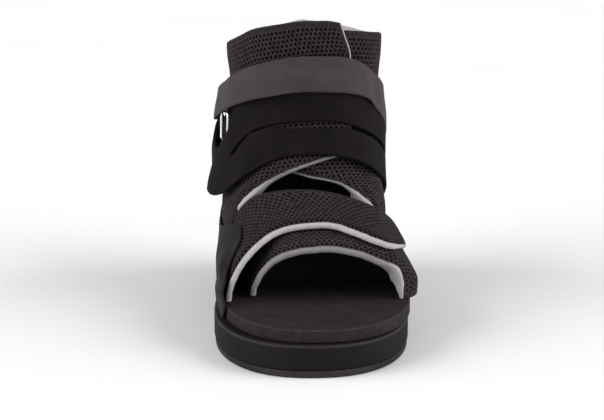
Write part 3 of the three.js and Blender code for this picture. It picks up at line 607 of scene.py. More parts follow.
def surface_of(material):
    return material.node_tree.nodes["Principled BSDF"]


def pattern(material, kind, output, on_cloth=False, **values):
    """Pattern over the object's own coordinates, in metres, or along the cloth, in millimetres."""
    node = add_node(material, kind, **values)
    if on_cloth:
        coords = add_node(material, "ShaderNodeAttribute", attribute_name="cloth_mm").outputs["Vector"]
    else:
        coords = add_node(material, "ShaderNodeTexCoord").outputs["Object"]
    wire(material, coords, node.inputs["Vector"])
    return node.outputs[output]


def waves(material, way, threads):
    """Waves along one way of the cloth, a number of them for each millimetre."""
    scale = threads * math.pi / 10
    return pattern(material, "ShaderNodeTexWave", "Fac", True, bands_direction=way, Scale=scale)


def vary_colour(material, dark, light, scale):
    """Base colour that wanders between two shades."""
    noise = pattern(material, "ShaderNodeTexNoise", "Fac", Scale=scale, Detail=6.0, Roughness=0.6)
    ramp = add_node(material, "ShaderNodeValToRGB")
    for stop, place, shade in zip(ramp.color_ramp.elements, (0.35, 0.68), (dark, light)):
        stop.position, stop.color = place, (*shade, 1)
    wire(material, noise, ramp.inputs["Fac"])
    wire(material, ramp.outputs["Color"], surface_of(material).inputs["Base Color"])


def add_relief(material, kind, size, strength, depth):
    """Bump of one kind on top of the relief that the material has."""
    if kind == "noise":
        height = pattern(material, "ShaderNodeTexNoise", "Fac", Scale=size, Detail=3.0, Roughness=0.55)
    elif kind == "cells":
        height = pattern(material, "ShaderNodeTexVoronoi", "Distance", Scale=size)
    elif kind == "ribs":
        height = waves(material, "X", size)
    else:
        both = add_node(material, "ShaderNodeMath", operation="MULTIPLY")
        for target, way, threads in zip(both.inputs, "XY", size):
            wire(material, waves(material, way, threads), target)
        height = both.outputs[0]
    bump = add_node(material, "ShaderNodeBump", Strength=strength, Distance=depth)
    wire(material, height, bump.inputs["Height"])
    normal = surface_of(material).inputs["Normal"]
    if normal.is_linked:
        wire(material, normal.links[0].from_socket, bump.inputs["Normal"])
    wire(material, bump.outputs["Normal"], normal)


def fade_sides(material, colour, start, end, middle):
    """Base colour that turns to another one from start to end, to either side of the middle."""
    x = pattern(material, "ShaderNodeSeparateXYZ", "X")
    aside = add_node(material, "ShaderNodeMath", operation="SUBTRACT")
    aside.inputs[1].default_value = middle
    away = add_node(material, "ShaderNodeMath", operation="ABSOLUTE")
    share = add_node(material, "ShaderNodeMapRange", interpolation_type="SMOOTHSTEP")
    share.inputs["From Min"].default_value, share.inputs["From Max"].default_value = start, end
    blend = add_node(material, "ShaderNodeMixRGB", Color2=(*colour, 1))
    base = surface_of(material).inputs["Base Color"]
    wire(material, x, aside.inputs[0])
    wire(material, aside.outputs[0], away.inputs[0])
    wire(material, away.outputs[0], share.inputs["Value"])
    wire(material, share.outputs["Result"], blend.inputs["Fac"])
    wire(material, base.links[0].from_socket, blend.inputs["Color1"])
    wire(material, blend.outputs["Color"], base)


def make_material(name, roughness, specular, dark, light, scale, reliefs):
    material = bpy.data.materials.new(name)
    material.use_nodes = True
    surface = surface_of(material)
    surface.inputs["Base Color"].default_value = (*(np.add(dark, light) / 2), 1)
    surface.inputs["Roughness"].default_value = roughness
    surface.inputs["Specular IOR Level"].default_value = specular
    vary_colour(material, dark, light, scale)
    for relief in reliefs:
        add_relief(material, *relief)
    return material


paint = {key: make_material(*row) for key, row in SURFACES.items()}
for key, tone in TAPE_TONES.items():
    paint[key] = make_material("grey_" + key, 0.8, 0.15, TAPE_DARK * tone, TAPE_LIGHT * tone, 300, TAPE_RELIEF)
for key, row in SIDE_COLOURS.items():
    fade_sides(paint[key], *row)
surface_of(paint["steel"]).inputs["Metallic"].default_value = 1.0

# Sole stack


def cap_share(t, fullness=2.0):
    """Share of the full width at a share of the way out to a rounded end."""
    return np.maximum(1 - np.clip(t, 0, 1) ** fullness, 0) ** (1 / fullness)


def sole_half(y, inset):
    """Half width of the sole at a place along it, with its edge drawn in."""
    toe_start = -SOLE_LENGTH / 2 + TOE_CAP_LENGTH
    heel_start = SOLE_LENGTH / 2 - HEEL_CAP_LENGTH
    toe = cap_share((toe_start - y) / (TOE_CAP_LENGTH - inset), TOE_FULLNESS) * (SOLE_HALF_WIDTH - inset)
    heel = cap_share((y - heel_start) / (HEEL_CAP_LENGTH - inset)) * (HEEL_HALF_WIDTH - inset)
    waist = mix(SOLE_HALF_WIDTH, HEEL_HALF_WIDTH, smooth((y - toe_start) / (heel_start - toe_start))) - inset
    return np.where(y < toe_start, toe, np.where(y > heel_start, heel, waist))


def sole_drift(y):
    toe_start = -SOLE_LENGTH / 2 + TOE_CAP_LENGTH
    return TOE_DRIFT * np.clip((toe_start - y) / TOE_CAP_LENGTH, 0, 1) ** 2


def sole_ring(z, inset):
    k = np.arange(2 * SOLE_RING_STEPS)
    y = -(SOLE_LENGTH / 2 - inset) * np.cos(math.pi * k / SOLE_RING_STEPS)
    side = np.where(k <= SOLE_RING_STEPS, 1, -1)
    x = sole_drift(y) + side * sole_half(y, inset)
    return np.stack([x, y, np.full(len(k), float(z))], 1)


def insole_ring(z, inset):
    toe_start, heel_start = INSOLE_SIDES[0][0], INSOLE_SIDES[-1][0]
    front = toe_start - INSOLE_TOE_LENGTH + inset
    back = heel_start + INSOLE_HEEL_LENGTH - inset
    k = np.arange(2 * SOLE_RING_STEPS)
    y = (front + back) / 2 - (back - front) / 2 * np.cos(math.pi * k / SOLE_RING_STEPS)
    half = np.where(k <= SOLE_RING_STEPS, insole_right(y) - inset, inset - insole_left(y))
    toe = cap_share((toe_start - y) / (toe_start - front), INSOLE_TOE_FULLNESS)
    x = half * toe * cap_share((y - heel_start) / (back - heel_start))
    return np.stack([x, y, np.full(len(k), float(z))], 1)


def drawn_in(ring, share, z):
    """A ring drawn towards the sole's middle, for the inside of a flat face."""
    drawn = ring * share
    drawn[:, 2] = z
    return drawn


def rounded_stack(ring, low, high, low_edge, high_edge, dish=0.0):
    """Rings from the middle of the underside, round both edges, to the middle of the top."""
    turns = [math.pi / 2 * k / ROUND_STEPS for k in range(ROUND_STEPS + 1)]
    rings = [drawn_in(ring(low, low_edge), share, low) for share in FACE_SHARES]
    rings += [ring(low + low_edge * (1 - math.cos(t)), low_edge * (1 - math.sin(t))) for t in turns]
    rings += [ring(high - high_edge * (1 - math.sin(t)), high_edge * (1 - math.cos(t))) for t in turns]
    for share in reversed(FACE_SHARES):
        rings.append(drawn_in(ring(high, high_edge), share, high - dish * (1 - share ** 3)))
    return np.array(rings)


def stack_skin(rings):
    """Skin of a stack with its own paints on the side and on the upper edge, where the sole and insole get a painted
    highlight.
    """
    skin = Skin()
    count, size = rings.shape[:2]
    rows = np.zeros(count - 1, int)
    rows[SIDE_ROW] = SIDE
    # Rows of the rounded upper edge, which carry the edge paint: a painted highlight on the sole and insole
    rows[SIDE_ROW + 1:SIDE_ROW + 1 + ROUND_STEPS] = EDGE
    outline = rings[SIDE_ROW]
    steps = np.linalg.norm(np.roll(outline, -1, 0) - outline, axis=1)
    run = np.concatenate([[0], np.cumsum(steps)[:-1]])
    from_toe = np.minimum(run, steps.sum() - run)
    cloth = np.stack(np.broadcast_arrays(from_toe, rings[..., 2]), -1)
    loft(skin, rings, np.repeat(rows, size), cloth=cloth)
    return skin


def make_sole():
    tread_ring = lambda z, inset: sole_ring(z, inset + TREAD_INSET)
    tread = stack_skin(rounded_stack(tread_ring, 0, TREAD_HEIGHT, 1, 0.3))
    block = stack_skin(rounded_stack(sole_ring, TREAD_HEIGHT + 0.05, SOLE_TOP, 1.6, 1.3))
    bed = stack_skin(rounded_stack(insole_ring, SOLE_TOP + 0.1, INSOLE_TOP, 0.9, 1.0, INSOLE_DISH))
    piece("tread_layer_rubber", tread, ["tread"] * 3, ["tread_layer"])
    # The sole block's upper edge rows take the painted-highlight material
    piece("sole_block_foam", block, ["sole", "sole", "sole_edge_highlight"], ["sole_block"])
    # The insole's upper edge rows take the painted-highlight material
    made = piece("insole_footbed", bed, ["foam", "foam_side", "foam_edge_highlight"], ["insole"])


make_sole()

# Padded walls of the upper


def bilinear(table, i, j):
    """Value of a table at fractional places."""
    i = np.clip(i, 0, table.shape[0] - 1.001)
    j = np.clip(j, 0, table.shape[1] - 1.001)
    a, b = i.astype(int), j.astype(int)
    s, t = i - a, j - b
    near = table[a, b] * (1 - t) + table[a, b + 1] * t
    far = table[a + 1, b] * (1 - t) + table[a + 1, b + 1] * t
    return near * (1 - s) + far * s


def along_lengths(points, axis):
    """Length run along one direction of a grid, from its start."""
    steps = np.linalg.norm(np.diff(points, axis=axis), axis=-1)
    zero = np.zeros_like(np.take(steps, [0], axis=axis))
    return np.concatenate([zero, np.cumsum(steps, axis=axis)], axis=axis)


def close_ends(count):
    """Shares from 0 to 1 that lie closer together towards both ends."""
    even = np.linspace(0, 1, count)
    return even - 0.6 * np.sin(2 * np.pi * even) / (2 * np.pi)


class Wall:
    """A padded cloth wall over the foot form, between two edges and two sides.

    u runs round the section from the first side, d from the first edge, both in millimetres on the outside.
    """

    def __init__(self, sides, first, last, lift, squeeze, thick, floor, reference, place=lifted):
        self.lift, self.squeeze, self.thick, self.floor, self.place = lift, squeeze, thick, floor, place
        self.shares, self.ways = np.linspace(0, 1, 181), np.linspace(0, 1, 161)
        c, v = np.meshgrid(self.shares, self.ways, indexing="ij")
        station = np.full(c.shape, 60.0)
        for _ in range(SETTLE_ROUNDS):
            low, high = sides(station)
            angle = mix(low, high, c)
            station = mix(first(angle), last(angle), v)
        self.station, self.angle = station, angle
        points = self.outside(station, angle, 0.0)
        depth = along_lengths(points, 1)
        self.end_depth = depth[:, -1]
        self.depths = np.linspace(0, depth.max(), 240)
        self.way = np.stack([np.interp(self.depths, row, self.ways) for row in depth])
        reach = np.minimum(reference, self.end_depth)
        j = np.array([np.interp(r, row, np.arange(len(row))) for r, row in zip(reach, depth)])
        i = np.arange(len(self.shares), dtype=float)
        line = np.stack([bilinear(points[..., k], i, j) for k in range(3)], -1)
        self.round = along_lengths(line, 0)
        self.width = self.round[-1]

    def at(self, station, angle, rise):
        points = self.place(station, angle, self.lift(station, angle) + rise)
        points[..., 2] = np.maximum(points[..., 2], self.floor)
        return points

    def outside(self, station, angle, rise):
        return self.at(station, angle, self.thick - self.squeeze(station, angle) + rise)

    def inside(self, station, angle):
        return self.at(station, angle, self.squeeze(station, angle))

    def params(self, u, d):
        share = np.interp(u, self.round, self.shares)
        i = share * (len(self.shares) - 1)
        end = np.interp(share, self.shares, self.end_depth)
        d = np.clip(d, 0, end)
        way = bilinear(self.way, i, d / self.depths[-1] * (len(self.depths) - 1))
        j = way * (len(self.ways) - 1)
        return bilinear(self.station, i, j), bilinear(self.angle, i, j), end

    def point(self, u, d, rise):
        station, angle, _ = self.params(u, d)
        return self.outside(station, angle, rise)

    def grid(self, columns, rows):
        u = self.width * close_ends(columns)
        share = np.interp(u, self.round, self.shares)
        i = (share * (len(self.shares) - 1))[:, None] * np.ones(rows)
        j = close_ends(rows)[None, :] * np.ones((columns, 1)) * (len(self.ways) - 1)
        return bilinear(self.station, i, j), bilinear(self.angle, i, j)


def core(skin, wall, columns, rows, outward, lining, turned):
    """Padding under the mesh: dark outside, lining inside, with a turned hem along its border."""
    station, angle = wall.grid(columns, rows)
    face = wall.outside(station, angle, 0.0)
    across, along = along_lengths(face, 0), along_lengths(face, 1)
    border = np.minimum.reduce([across, across[-1:] - across, along, along[:, -1:] - along])
    hem = smooth(1.6 - border / HEM_WIDTH)
    outer = wall.outside(station, angle, -CORE_DROP + (CORE_DROP + 0.12) * hem)
    inner = wall.inside(station, angle)
    cloth = np.stack([across, along], -1)
    if not outward:
        outer, inner, cloth = outer[::-1], inner[::-1], cloth[::-1]
    light = np.where(cloth[:-1, :-1, 1] < lining, LINING, INNER_AND_SLOT_SHADE).ravel()
    rim = np.where(cloth[..., 1] < lining, turned, INNER_AND_SLOT_SHADE)
    shell(skin, outer, inner, (HEM, light, HEM, rim), None, 8, 0.7, cloth)


def air_mesh(skin, wall, outward, paint_slot_shade):
    """Staggered rounded holes over a wall, one rounded cell each, with painted shade in the straps' slot, where the
    cells take the dark inner lining.
    """
    columns = int(wall.width / MESH_PITCH) + 1
    rows = int(wall.depths[-1] / MESH_ROW) + 2
    i, j = np.meshgrid(np.arange(-1, columns + 1), np.arange(0, rows), indexing="ij")
    cx, cy = (4 * i + 2 * (j % 2)).ravel(), (6 * j + 2).ravel()
    to_u, to_d = MESH_PITCH / 4, MESH_ROW / 6
    _, _, end = wall.params(cx * to_u, cy * to_d)
    inside = (cx * to_u > CELL_MARGIN) & (cx * to_u < wall.width - CELL_MARGIN)
    kept = inside & (cy * to_d < end - CELL_MARGIN)
    cx, cy = cx[kept], cy[kept]
    rim_x, rim_y = cx[:, None] + CELL_CORNERS[:, 0], cy[:, None] + CELL_CORNERS[:, 1]
    keys, rim = np.unique((rim_x + CELL_ORIGIN) * CELL_ROW + rim_y + CELL_ORIGIN, return_inverse=True)
    rim = rim.reshape(rim_x.shape)
    border_u, border_d = (keys // CELL_ROW - CELL_ORIGIN) * to_u, (keys % CELL_ROW - CELL_ORIGIN) * to_d
    is_node = np.isin(np.arange(len(keys)), rim[:, 0::2].ravel())
    turn = np.arctan2(CELL_CORNERS[:, 1] * to_d, CELL_CORNERS[:, 0] * to_u)
    radius = HOLE_SHARE * MESH_PITCH / 2
    u, d = cx[:, None] * to_u, cy[:, None] * to_d
    inner_u, inner_d = u + radius * np.cos(turn), d + radius * HOLE_STRETCH * np.sin(turn)
    middle_u = mix(u + CELL_CORNERS[:, 0] * to_u, inner_u, 0.5)
    middle_d = mix(d + CELL_CORNERS[:, 1] * to_d, inner_d, 0.5)

    def put(a, b, rise):
        limit_u = np.clip(a, CELL_INSET, wall.width - CELL_INSET).ravel()
        limit_d = np.maximum(b, CELL_INSET).ravel()
        return skin.add(wall.point(limit_u, limit_d, rise), cloth=np.stack([limit_u, limit_d], 1))

    thread, node, shoulder, side, bottom = THREAD_HEIGHTS
    count, size = rim.shape
    order = np.arange(count * size).reshape(count, size)
    rim = rim + put(border_u, border_d, np.where(is_node, node, thread))
    second = put(middle_u, middle_d, shoulder) + order
    third = put(inner_u, inner_d, side) + order
    hub = put(cx * to_u, cy * to_d, bottom) + np.arange(count)
    turned = lambda a: np.roll(a, -1, 1)
    rings = [np.stack([a, turned(a), turned(b), b], -1).reshape(-1, 4) for a, b in ((rim, second), (second, third))]
    fans = np.stack([third, turned(third), np.repeat(hub[:, None], size, 1)], -1).reshape(-1, 3)
    if not outward:
        rings, fans = [r[:, ::-1] for r in rings], fans[:, ::-1]
    station, angle, _ = wall.params(cx * to_u, cy * to_d)
    in_slot = (station > slot_low(angle) - 1) & (station < slot_high(angle) + 1) & (angle > SLOT_START)
    # Painted shade: the mesh cells in the straps' slot take the dark inner lining material
    cell = np.repeat(np.where(in_slot & paint_slot_shade, INNER_AND_SLOT_SHADE, MESH), size)
    for ring in rings:
        skin.join(ring, cell)
    skin.join(fans, HOLE)


def waist(station, angle):
    """Dent of the right quarter, just above the place where the toe flap runs in under it."""
    return WAIST_DENT * np.exp(-(((station - WAIST_STATION) / WAIST_REACH) ** 2)) * window(angle, 50, 16, 96, 16)


def inner_lift(station, angle):
    """Lift of the inner toe flap: tucked in at the toe opening, in line with the quarter at the rear."""
    near = smooth(1 - (station - inner_flap_front(angle)) / FLAP_TUCK_REACH)
    settle = smooth((station - FLAP_SETTLE) / 18) * smooth((angle - 76) / 14)
    return mix(inner_flap_lift(angle), 0.2, settle) - near * inner_tuck(angle)


def drawn(station, angle, lift):
    """Place on the inner toe flap, whose left end is drawn in under the outer flap."""
    points = lifted(station, angle, lift)
    points[..., 0] += inner_draw(angle) * (1 - 0.5 * smooth((station + 5) / 45))
    return points


def outer_lift(station, angle):
    return outer_flap_lift(angle) + np.zeros_like(station)


def flap_sides(right_end):
    def sides(station):
        foot = foot_angle(station, FLAP_FOOT)
        return -foot, np.minimum(foot, right_end)

    return sides


def toe_wall(front, lift, right_end, place):
    near = lambda angle: front(angle) + step_across(front, angle, TOE_BINDING_WIDTH / 2)
    rear = lambda angle: flap_rear(angle) + 0.8 * smooth((angle - 55) / 12)
    squeeze = lambda station, angle: FLAP_SQUEEZE * smooth(1 - (station - front(angle) - 2) / 7)
    return Wall(flap_sides(right_end), near, rear, lift, squeeze, TOE_WALL, FLAP_FOOT - 0.4, 22, place)


def hump(t):
    t = np.clip(t, 0, 1)
    return 4 * t * (1 - t)


def swell(station, angle, rim):
    """Padding that swells above the ankle strap and below the instep strap."""
    above = hump((station - ankle_top(angle)) / np.maximum(rim(angle) + 3 - ankle_top(angle), 5))
    below = hump((instep_low(angle) - station) / 22) * smooth((instep_low(angle) - 66) / 8)
    return window(angle, -112, 16, 124, 16) * (SWELL_ABOVE * above + SWELL_BELOW * below)


def neck(station):
    """Share of the shaft's narrowing, greatest at the ankle strap's upper edge and none at the rim."""
    return window(station, 118, 12, 162, 20)


def left_wall_lift(station, angle):
    narrow = NECK_LEFT * neck(station) * window(angle, -125, 20, -50, 18)
    return left_lift(angle) + swell(station, angle, left_rim) - narrow


def right_wall_lift(station, angle):
    narrow = NECK_RIGHT * neck(station) * window(angle, 48, 16, 125, 20)
    above_lap = swell(station, angle, right_rim) * smooth((angle - 34) / 12)
    return right_lift(angle) + above_lap - waist(station, angle) - narrow


def quarter_end(edge, wide, bound):
    """Lower edge of a quarter: inside its binding in front, on the sole behind."""

    def end(angle):
        size = np.abs(angle)
        sole = np.where(size > 100, foot_station(np.maximum(size, 100), SOLE_TOP - 0.5), -60)
        inside = step_across(edge, angle, wide(angle) / 2) * smooth(bound(angle) / 3)
        return np.maximum(edge(angle) + inside, sole)

    return end


def quarter_squeeze(edge, thick, bound):
    """Padding pressed thin towards a bound edge, taken off each face."""

    def squeeze(station, angle):
        most = (QUARTER_WALL - thick(angle)) / 2 + 0.15
        return most * smooth(1 - (station - edge(angle) - 1.5) / 9) * smooth(bound(angle) / 4)

    return squeeze


def quarter_wall(sides, rim, edge, wide, thick, lift, bound):
    end, squeeze = quarter_end(edge, wide, bound), quarter_squeeze(edge, thick, bound)
    return Wall(sides, lambda a: rim(a) - RIM_ROUND, end, lift, squeeze, QUARTER_WALL, SOLE_TOP - 0.6, 55)


def make_wall(name, node, wall, columns, rows, outward, lining, turned):
    skin = Skin()
    core(skin, wall, columns, rows, outward, lining, turned)
    air_mesh(skin, wall, outward, turned == LINING)
    made = piece(name, skin, ["mesh", "hole", "lining", "hem", "inner"], [node])


left_quarter = quarter_wall(
    lambda s: (np.full(np.shape(s), -BACK_SEAM), left_free(s) - EDGE_TAPE_ANGLE * 0.7), left_rim, left_low,
    left_binding_wide, left_binding_thick, left_wall_lift, lambda a: a - BINDING_LEFT_START)
right_quarter = quarter_wall(
    lambda s: (np.full(np.shape(s), BACK_SEAM), np.full(np.shape(s), float(RIGHT_QUARTER_FREE))), right_rim, right_low,
    right_binding_wide, right_binding_thick, right_wall_lift, lambda a: BINDING_RIGHT_START - a)
inner_toe = toe_wall(inner_flap_front, inner_lift, 180, drawn)
outer_toe = toe_wall(outer_flap_front, outer_lift, OUTER_FLAP_END, lifted)
make_wall("quarter_left_mesh", "quarter_left", left_quarter, 96, 52, False, RIM_LINING, LINING)
make_wall("quarter_right_mesh", "quarter_right", right_quarter, 96, 52, True, RIM_LINING, LINING)
make_wall("toe_flap_inner_mesh", "toe_flap_inner", inner_toe, 140, 44, True, FLAP_LINING, HEM)
make_wall("toe_flap_outer_mesh", "toe_flap_outer", outer_toe, 130, 40, True, FLAP_LINING, HEM)

# Rolled bindings


def tape_section(sides, fullness):
    """Turn, place across and height round a tape's rounded section."""
    turn = 2 * math.pi * np.arange(sides) / sides
    full = lambda v: np.sign(v) * np.abs(v) ** (2 / fullness)
    return turn, full(np.cos(turn)), full(np.sin(turn))


def round_end(share, least):
    """Size of a tape at a share of the way through its rounded end."""
    return np.sqrt(1 - (1 - np.clip(share, least, 1)) ** 2)


def roll(skin, station, angle, middle, half_thick, wide, floor, ends, place=lifted, inward=0.0):
    """Rolled tape along an edge: station and angle of the edge, width in station, height of its middle.

    inward widens it towards the inside of the shoe, where it also lies farther back.
    """
    turn, across, up = tape_section(20, 2.5)
    count = len(angle)
    run = along_lengths(form_point(station, angle), 0)
    pucker = 1 + 0.02 * np.sin(run * 1.9) * np.sin(run * 0.43 + 1) + 0.015 * np.sin(run * 0.8)
    size = np.ones(count)
    for wanted, length in ((ends[0], run), (ends[1], run[-1] - run)):
        if wanted:
            size *= round_end(length / 2.2, 0.04)
    lower = np.broadcast_to(inward, (count,))[:, None] * np.maximum(-up, 0)
    reach = (wide / 2)[:, None] * (1 + size[:, None] * across) + 0.4 * lower
    high = middle[:, None] + (half_thick * size * pucker)[:, None] * up - lower
    points = place(station[:, None] + reach, angle[:, None], high)
    points[..., 2] = np.maximum(points[..., 2], floor)
    cloth = np.stack(np.broadcast_arrays(run[:, None], turn * 2.6), -1)
    loft(skin, points, cloth=cloth)


def eased(count):
    """Shares from 0 to 1 with some more of them in a short stretch at both ends."""
    t = np.linspace(0, 1, count)
    extra = 0.02 * t[1:-1:4]
    return np.sort(np.concatenate([t, extra, 1 - extra]))


def toe_binding(name, node, tape, front, lift, right_end, place, inward, thin_end):
    skin = Skin()
    share = eased(170)
    sides = flap_sides(right_end)
    station = np.full(share.shape, -5.0)
    for _ in range(SETTLE_ROUNDS):
        low, high = sides(station)
        angle = mix(low, high, share)
        station = front(angle)
    size = 1 - thin_end * smooth((angle - 80) / 20)
    wide = step_across(front, angle, TOE_BINDING_WIDTH) * size
    middle = lift(station + wide / 2, angle) + TOE_WALL / 2
    half = TOE_BINDING_THICK / 2 * size
    ends = (False, right_end < 90)
    roll(skin, station, angle, middle, half, wide, FLAP_FOOT - 0.5, ends, place, inward(angle))
    piece(name, skin, [tape], [node])


def corner_gusset(angle):
    """Widening of the inner binding below its right corner."""
    return CORNER_GUSSET * window(angle, 61, 15, 99, 20)


# The inner toe binding takes the shaded tape: painted shade in its middle, under the outer flap
toe_binding("toe_inner_rolled_binding", "toe_inner_binding", "tape_toe_shaded",
            inner_flap_front, inner_lift, 180, drawn, corner_gusset, 0.55)
toe_binding("toe_outer_rolled_binding", "toe_outer_binding", "tape",
            outer_flap_front, outer_lift, OUTER_FLAP_END, lifted, np.zeros_like, 0.0)


def quarter_binding(name, node, edge, lift, width, thick, angle, inward):
    skin = Skin()
    station = edge(angle)
    wide = step_across(edge, angle, width(angle))
    middle = lift(station + wide / 2, angle) + QUARTER_WALL / 2
    roll(skin, station, angle, middle, thick(angle) / 2, wide, WALL_FOOT, (True, True), inward=inward(angle))
    # Painted shade: the quarter bindings' tape is darker in its middle and light towards its ends
    piece(name, skin, ["tape_quarter_shaded"], [node])


def left_turn(angle):
    """Lining that shows under the left quarter's binding near its outer end."""
    return LEFT_TURN * window(angle, -57, 9, -24, 14)


def right_turn(angle):
    return RIGHT_TURN * window(angle, 33, 5, 55, 8)


left_end = float(left_free(84)) - EDGE_TAPE_ANGLE * 0.5
left_angles = mix(BINDING_LEFT_START, left_end, eased(120))
right_angles = mix(RIGHT_QUARTER_FREE, BINDING_RIGHT_START, eased(110))
quarter_binding("quarter_left_rolled_binding", "quarter_left_binding", left_low, left_wall_lift,
                left_binding_wide, left_binding_thick, left_angles, left_turn)
quarter_binding("quarter_right_rolled_binding", "quarter_right_binding", right_low, right_wall_lift,
                right_binding_wide, right_binding_thick, right_angles, right_turn)


def make_edge_tape():
    skin = Skin()
    station = np.linspace(TAPE_START, TAPE_END, 90)
    centre = left_free(station) - EDGE_TAPE_ANGLE / 2
    station = np.minimum(station, left_rim(centre) - 0.6)
    turn, across, up = tape_section(16, 3.0)
    size = round_end(np.minimum(station - TAPE_START, TAPE_END - 1.4 - station) / 1.5, 0.05)
    angle = centre[:, None] + EDGE_TAPE_ANGLE / 2 * across
    middle = left_wall_lift(station, centre) + QUARTER_WALL / 2
    high = middle[:, None] + (size * (QUARTER_WALL / 2 + 0.25))[:, None] * up
    points = lifted(station[:, None], angle, high)
    cloth = np.stack(np.broadcast_arrays(station[:, None], turn * 2), -1)
    loft(skin, points[:, ::-1], cloth=cloth[:, ::-1])
    piece("quarter_left_thin_edge_tape", skin, ["tape"], ["quarter_left_edge_tape"])


make_edge_tape()

# Heel panel


def counter_base(station, angle):
    """Lift of the panel's inner face: on the quarter behind, with a soft crease, down on the toe flap in front."""
    height = form_point(station, angle)[..., 2]
    front = smooth((angle - 245) / 15) * smooth((40 - station) / 20)
    crease = CREASE_DEPTH * front * np.exp(-(((height - COUNTER_CREASE) / CREASE_REACH) ** 2))
    lift = QUARTER_WALL + COUNTER_GAP - 0.35 - crease - FRONT_DROP * front
    beside = BESIDE_LIFT * smooth((31 - height) / 3)
    flap = np.maximum(outer_flap_lift(angle - 360) + TOE_WALL + 0.4, beside)
    hug = smooth((angle - 250) / 12) * smooth(1 - (station - counter_low(angle)) / COUNTER_HUG)
    return mix(lift, np.minimum(lift, flap), hug)


def counter_edges(angle):
    below = np.where(angle <= 180, angle, 360 - angle)
    sole = np.where(below > 100, foot_station(np.maximum(below, 100), SOLE_TOP - 0.3), -60)
    return np.maximum(counter_low(angle), sole), counter_top(angle)


def beside_insole(face, gap):
    """Foot of the panel's front drawn in beside the insole, at a gap from its side."""
    x, y, z = face[..., 0], face[..., 1], face[..., 2]
    toe = cap_share((INSOLE_SIDES[0][0] - y) / INSOLE_TOE_LENGTH, INSOLE_TOE_FULLNESS)
    edge = -insole_left(y) * toe - gap
    share = smooth((36 - z) / 9) * smooth((-48 - y) / 16) * (x < 0)
    face[..., 0] = mix(x, np.maximum(x, edge), share)


def sheet(name, node, outer, inner, material, segments, bulge, keep=None):
    """Sheet between two faces that lies stretched over the quarters."""
    skin = Skin()
    cloth = np.stack([along_lengths(outer, 0), along_lengths(outer, 1)], -1)
    shell(skin, outer, inner, (0, 0, 0, 0), keep, segments, bulge, cloth)
    made = piece(name, skin, [material], [node])


def make_counter():
    angle = mix(float(COUNTER_EDGES[0][0]), float(COUNTER_EDGES[-1][0]), np.linspace(0, 1, 240))
    low, top = counter_edges(angle)
    station = mix(low[:, None], top[:, None], np.linspace(0, 1, 56))
    angle = np.broadcast_to(angle[:, None], station.shape)
    base = counter_base(station, angle)
    outer = lifted(station, angle, base + COUNTER_WALL)
    inner = lifted(station, angle, base)
    for face, gap in ((outer, BESIDE_GAP + COUNTER_WALL), (inner, BESIDE_GAP)):
        beside_insole(face, gap)
        face[..., 2] = np.maximum(face[..., 2], SOLE_TOP - 0.4)
    sheet("heel_counter_panel", "heel_counter", outer, inner, "panel", 5, 0.8)


make_counter()

# Straps


def tab_flare(station, angle):
    """Lift of the instep strap's wide left tab, whose lower end stands off."""
    loose = TAB_LOOSE * smooth((122 - station) / 10) + TAB_FLARE * np.tanh(np.maximum(104 - station, 0) / 10.5)
    return loose * smooth((-48 - angle) / 36)


def strip(low, top, count):
    """Stations across a strap, inside its rounded edges."""
    return mix((low + STRAP_EDGE)[:, None], (top - STRAP_EDGE)[:, None], np.linspace(0, 1, count))


def make_instep_strap():
    first, last = INSTEP_EDGES[0][0], INSTEP_EDGES[-1][0]
    angles = np.concatenate([np.linspace(first, SLOT_START, 70), np.linspace(SLOT_START, last, 160)[1:]])
    finger = 14
    lower = strip(instep_low(angles), slot_low(angles), finger + 1)
    upper = strip(slot_high(angles), instep_top(angles), finger + 1)
    station = np.concatenate([lower, upper], 1)
    angle = np.broadcast_to(angles[:, None], station.shape)
    keep = np.ones((len(angles) - 1, station.shape[1] - 1), bool)
    keep[angles[1:] > SLOT_START + 0.01, finger] = False
    left = smooth((-75 - angle) / 8)
    under = STRAP_TUCK * left * smooth((station - 119.5) / 6)
    lift = strap_lift(angle) + tab_flare(station, angle) - 0.25 - under
    fold = np.maximum(lift - QUARTER_WALL - 0.3, 0) * left * smooth((station - 98) / 8)
    outer, inner = lifted(station, angle, lift + STRAP_WALL), lifted(station, angle, lift - fold)
    sheet("instep_strap_two_finger", "instep_strap", outer, inner, "black",
          6, 0.55, keep)


def overlap_lift(station, angle):
    """Lift of the ankle strap where it lies over the instep strap's upper finger."""
    return 0.1 + (STRAP_WALL + 0.3) * window(angle, -64, 17, 54, 15) * smooth((149 - station) / 12)


def make_ankle_strap():
    angles = np.linspace(ANKLE_EDGES[0][0], ANKLE_EDGES[-1][0], 200)
    station = strip(ankle_low(angles), ankle_top(angles), 24)
    angle = np.broadcast_to(angles[:, None], station.shape)
    lift = strap_lift(angle) + overlap_lift(station, angle)
    outer, inner = lifted(station, angle, lift + STRAP_WALL), lifted(station, angle, lift)
    sheet("ankle_strap_band", "ankle_strap", outer, inner, "grey", 6, 0.55)


make_instep_strap()
make_ankle_strap()


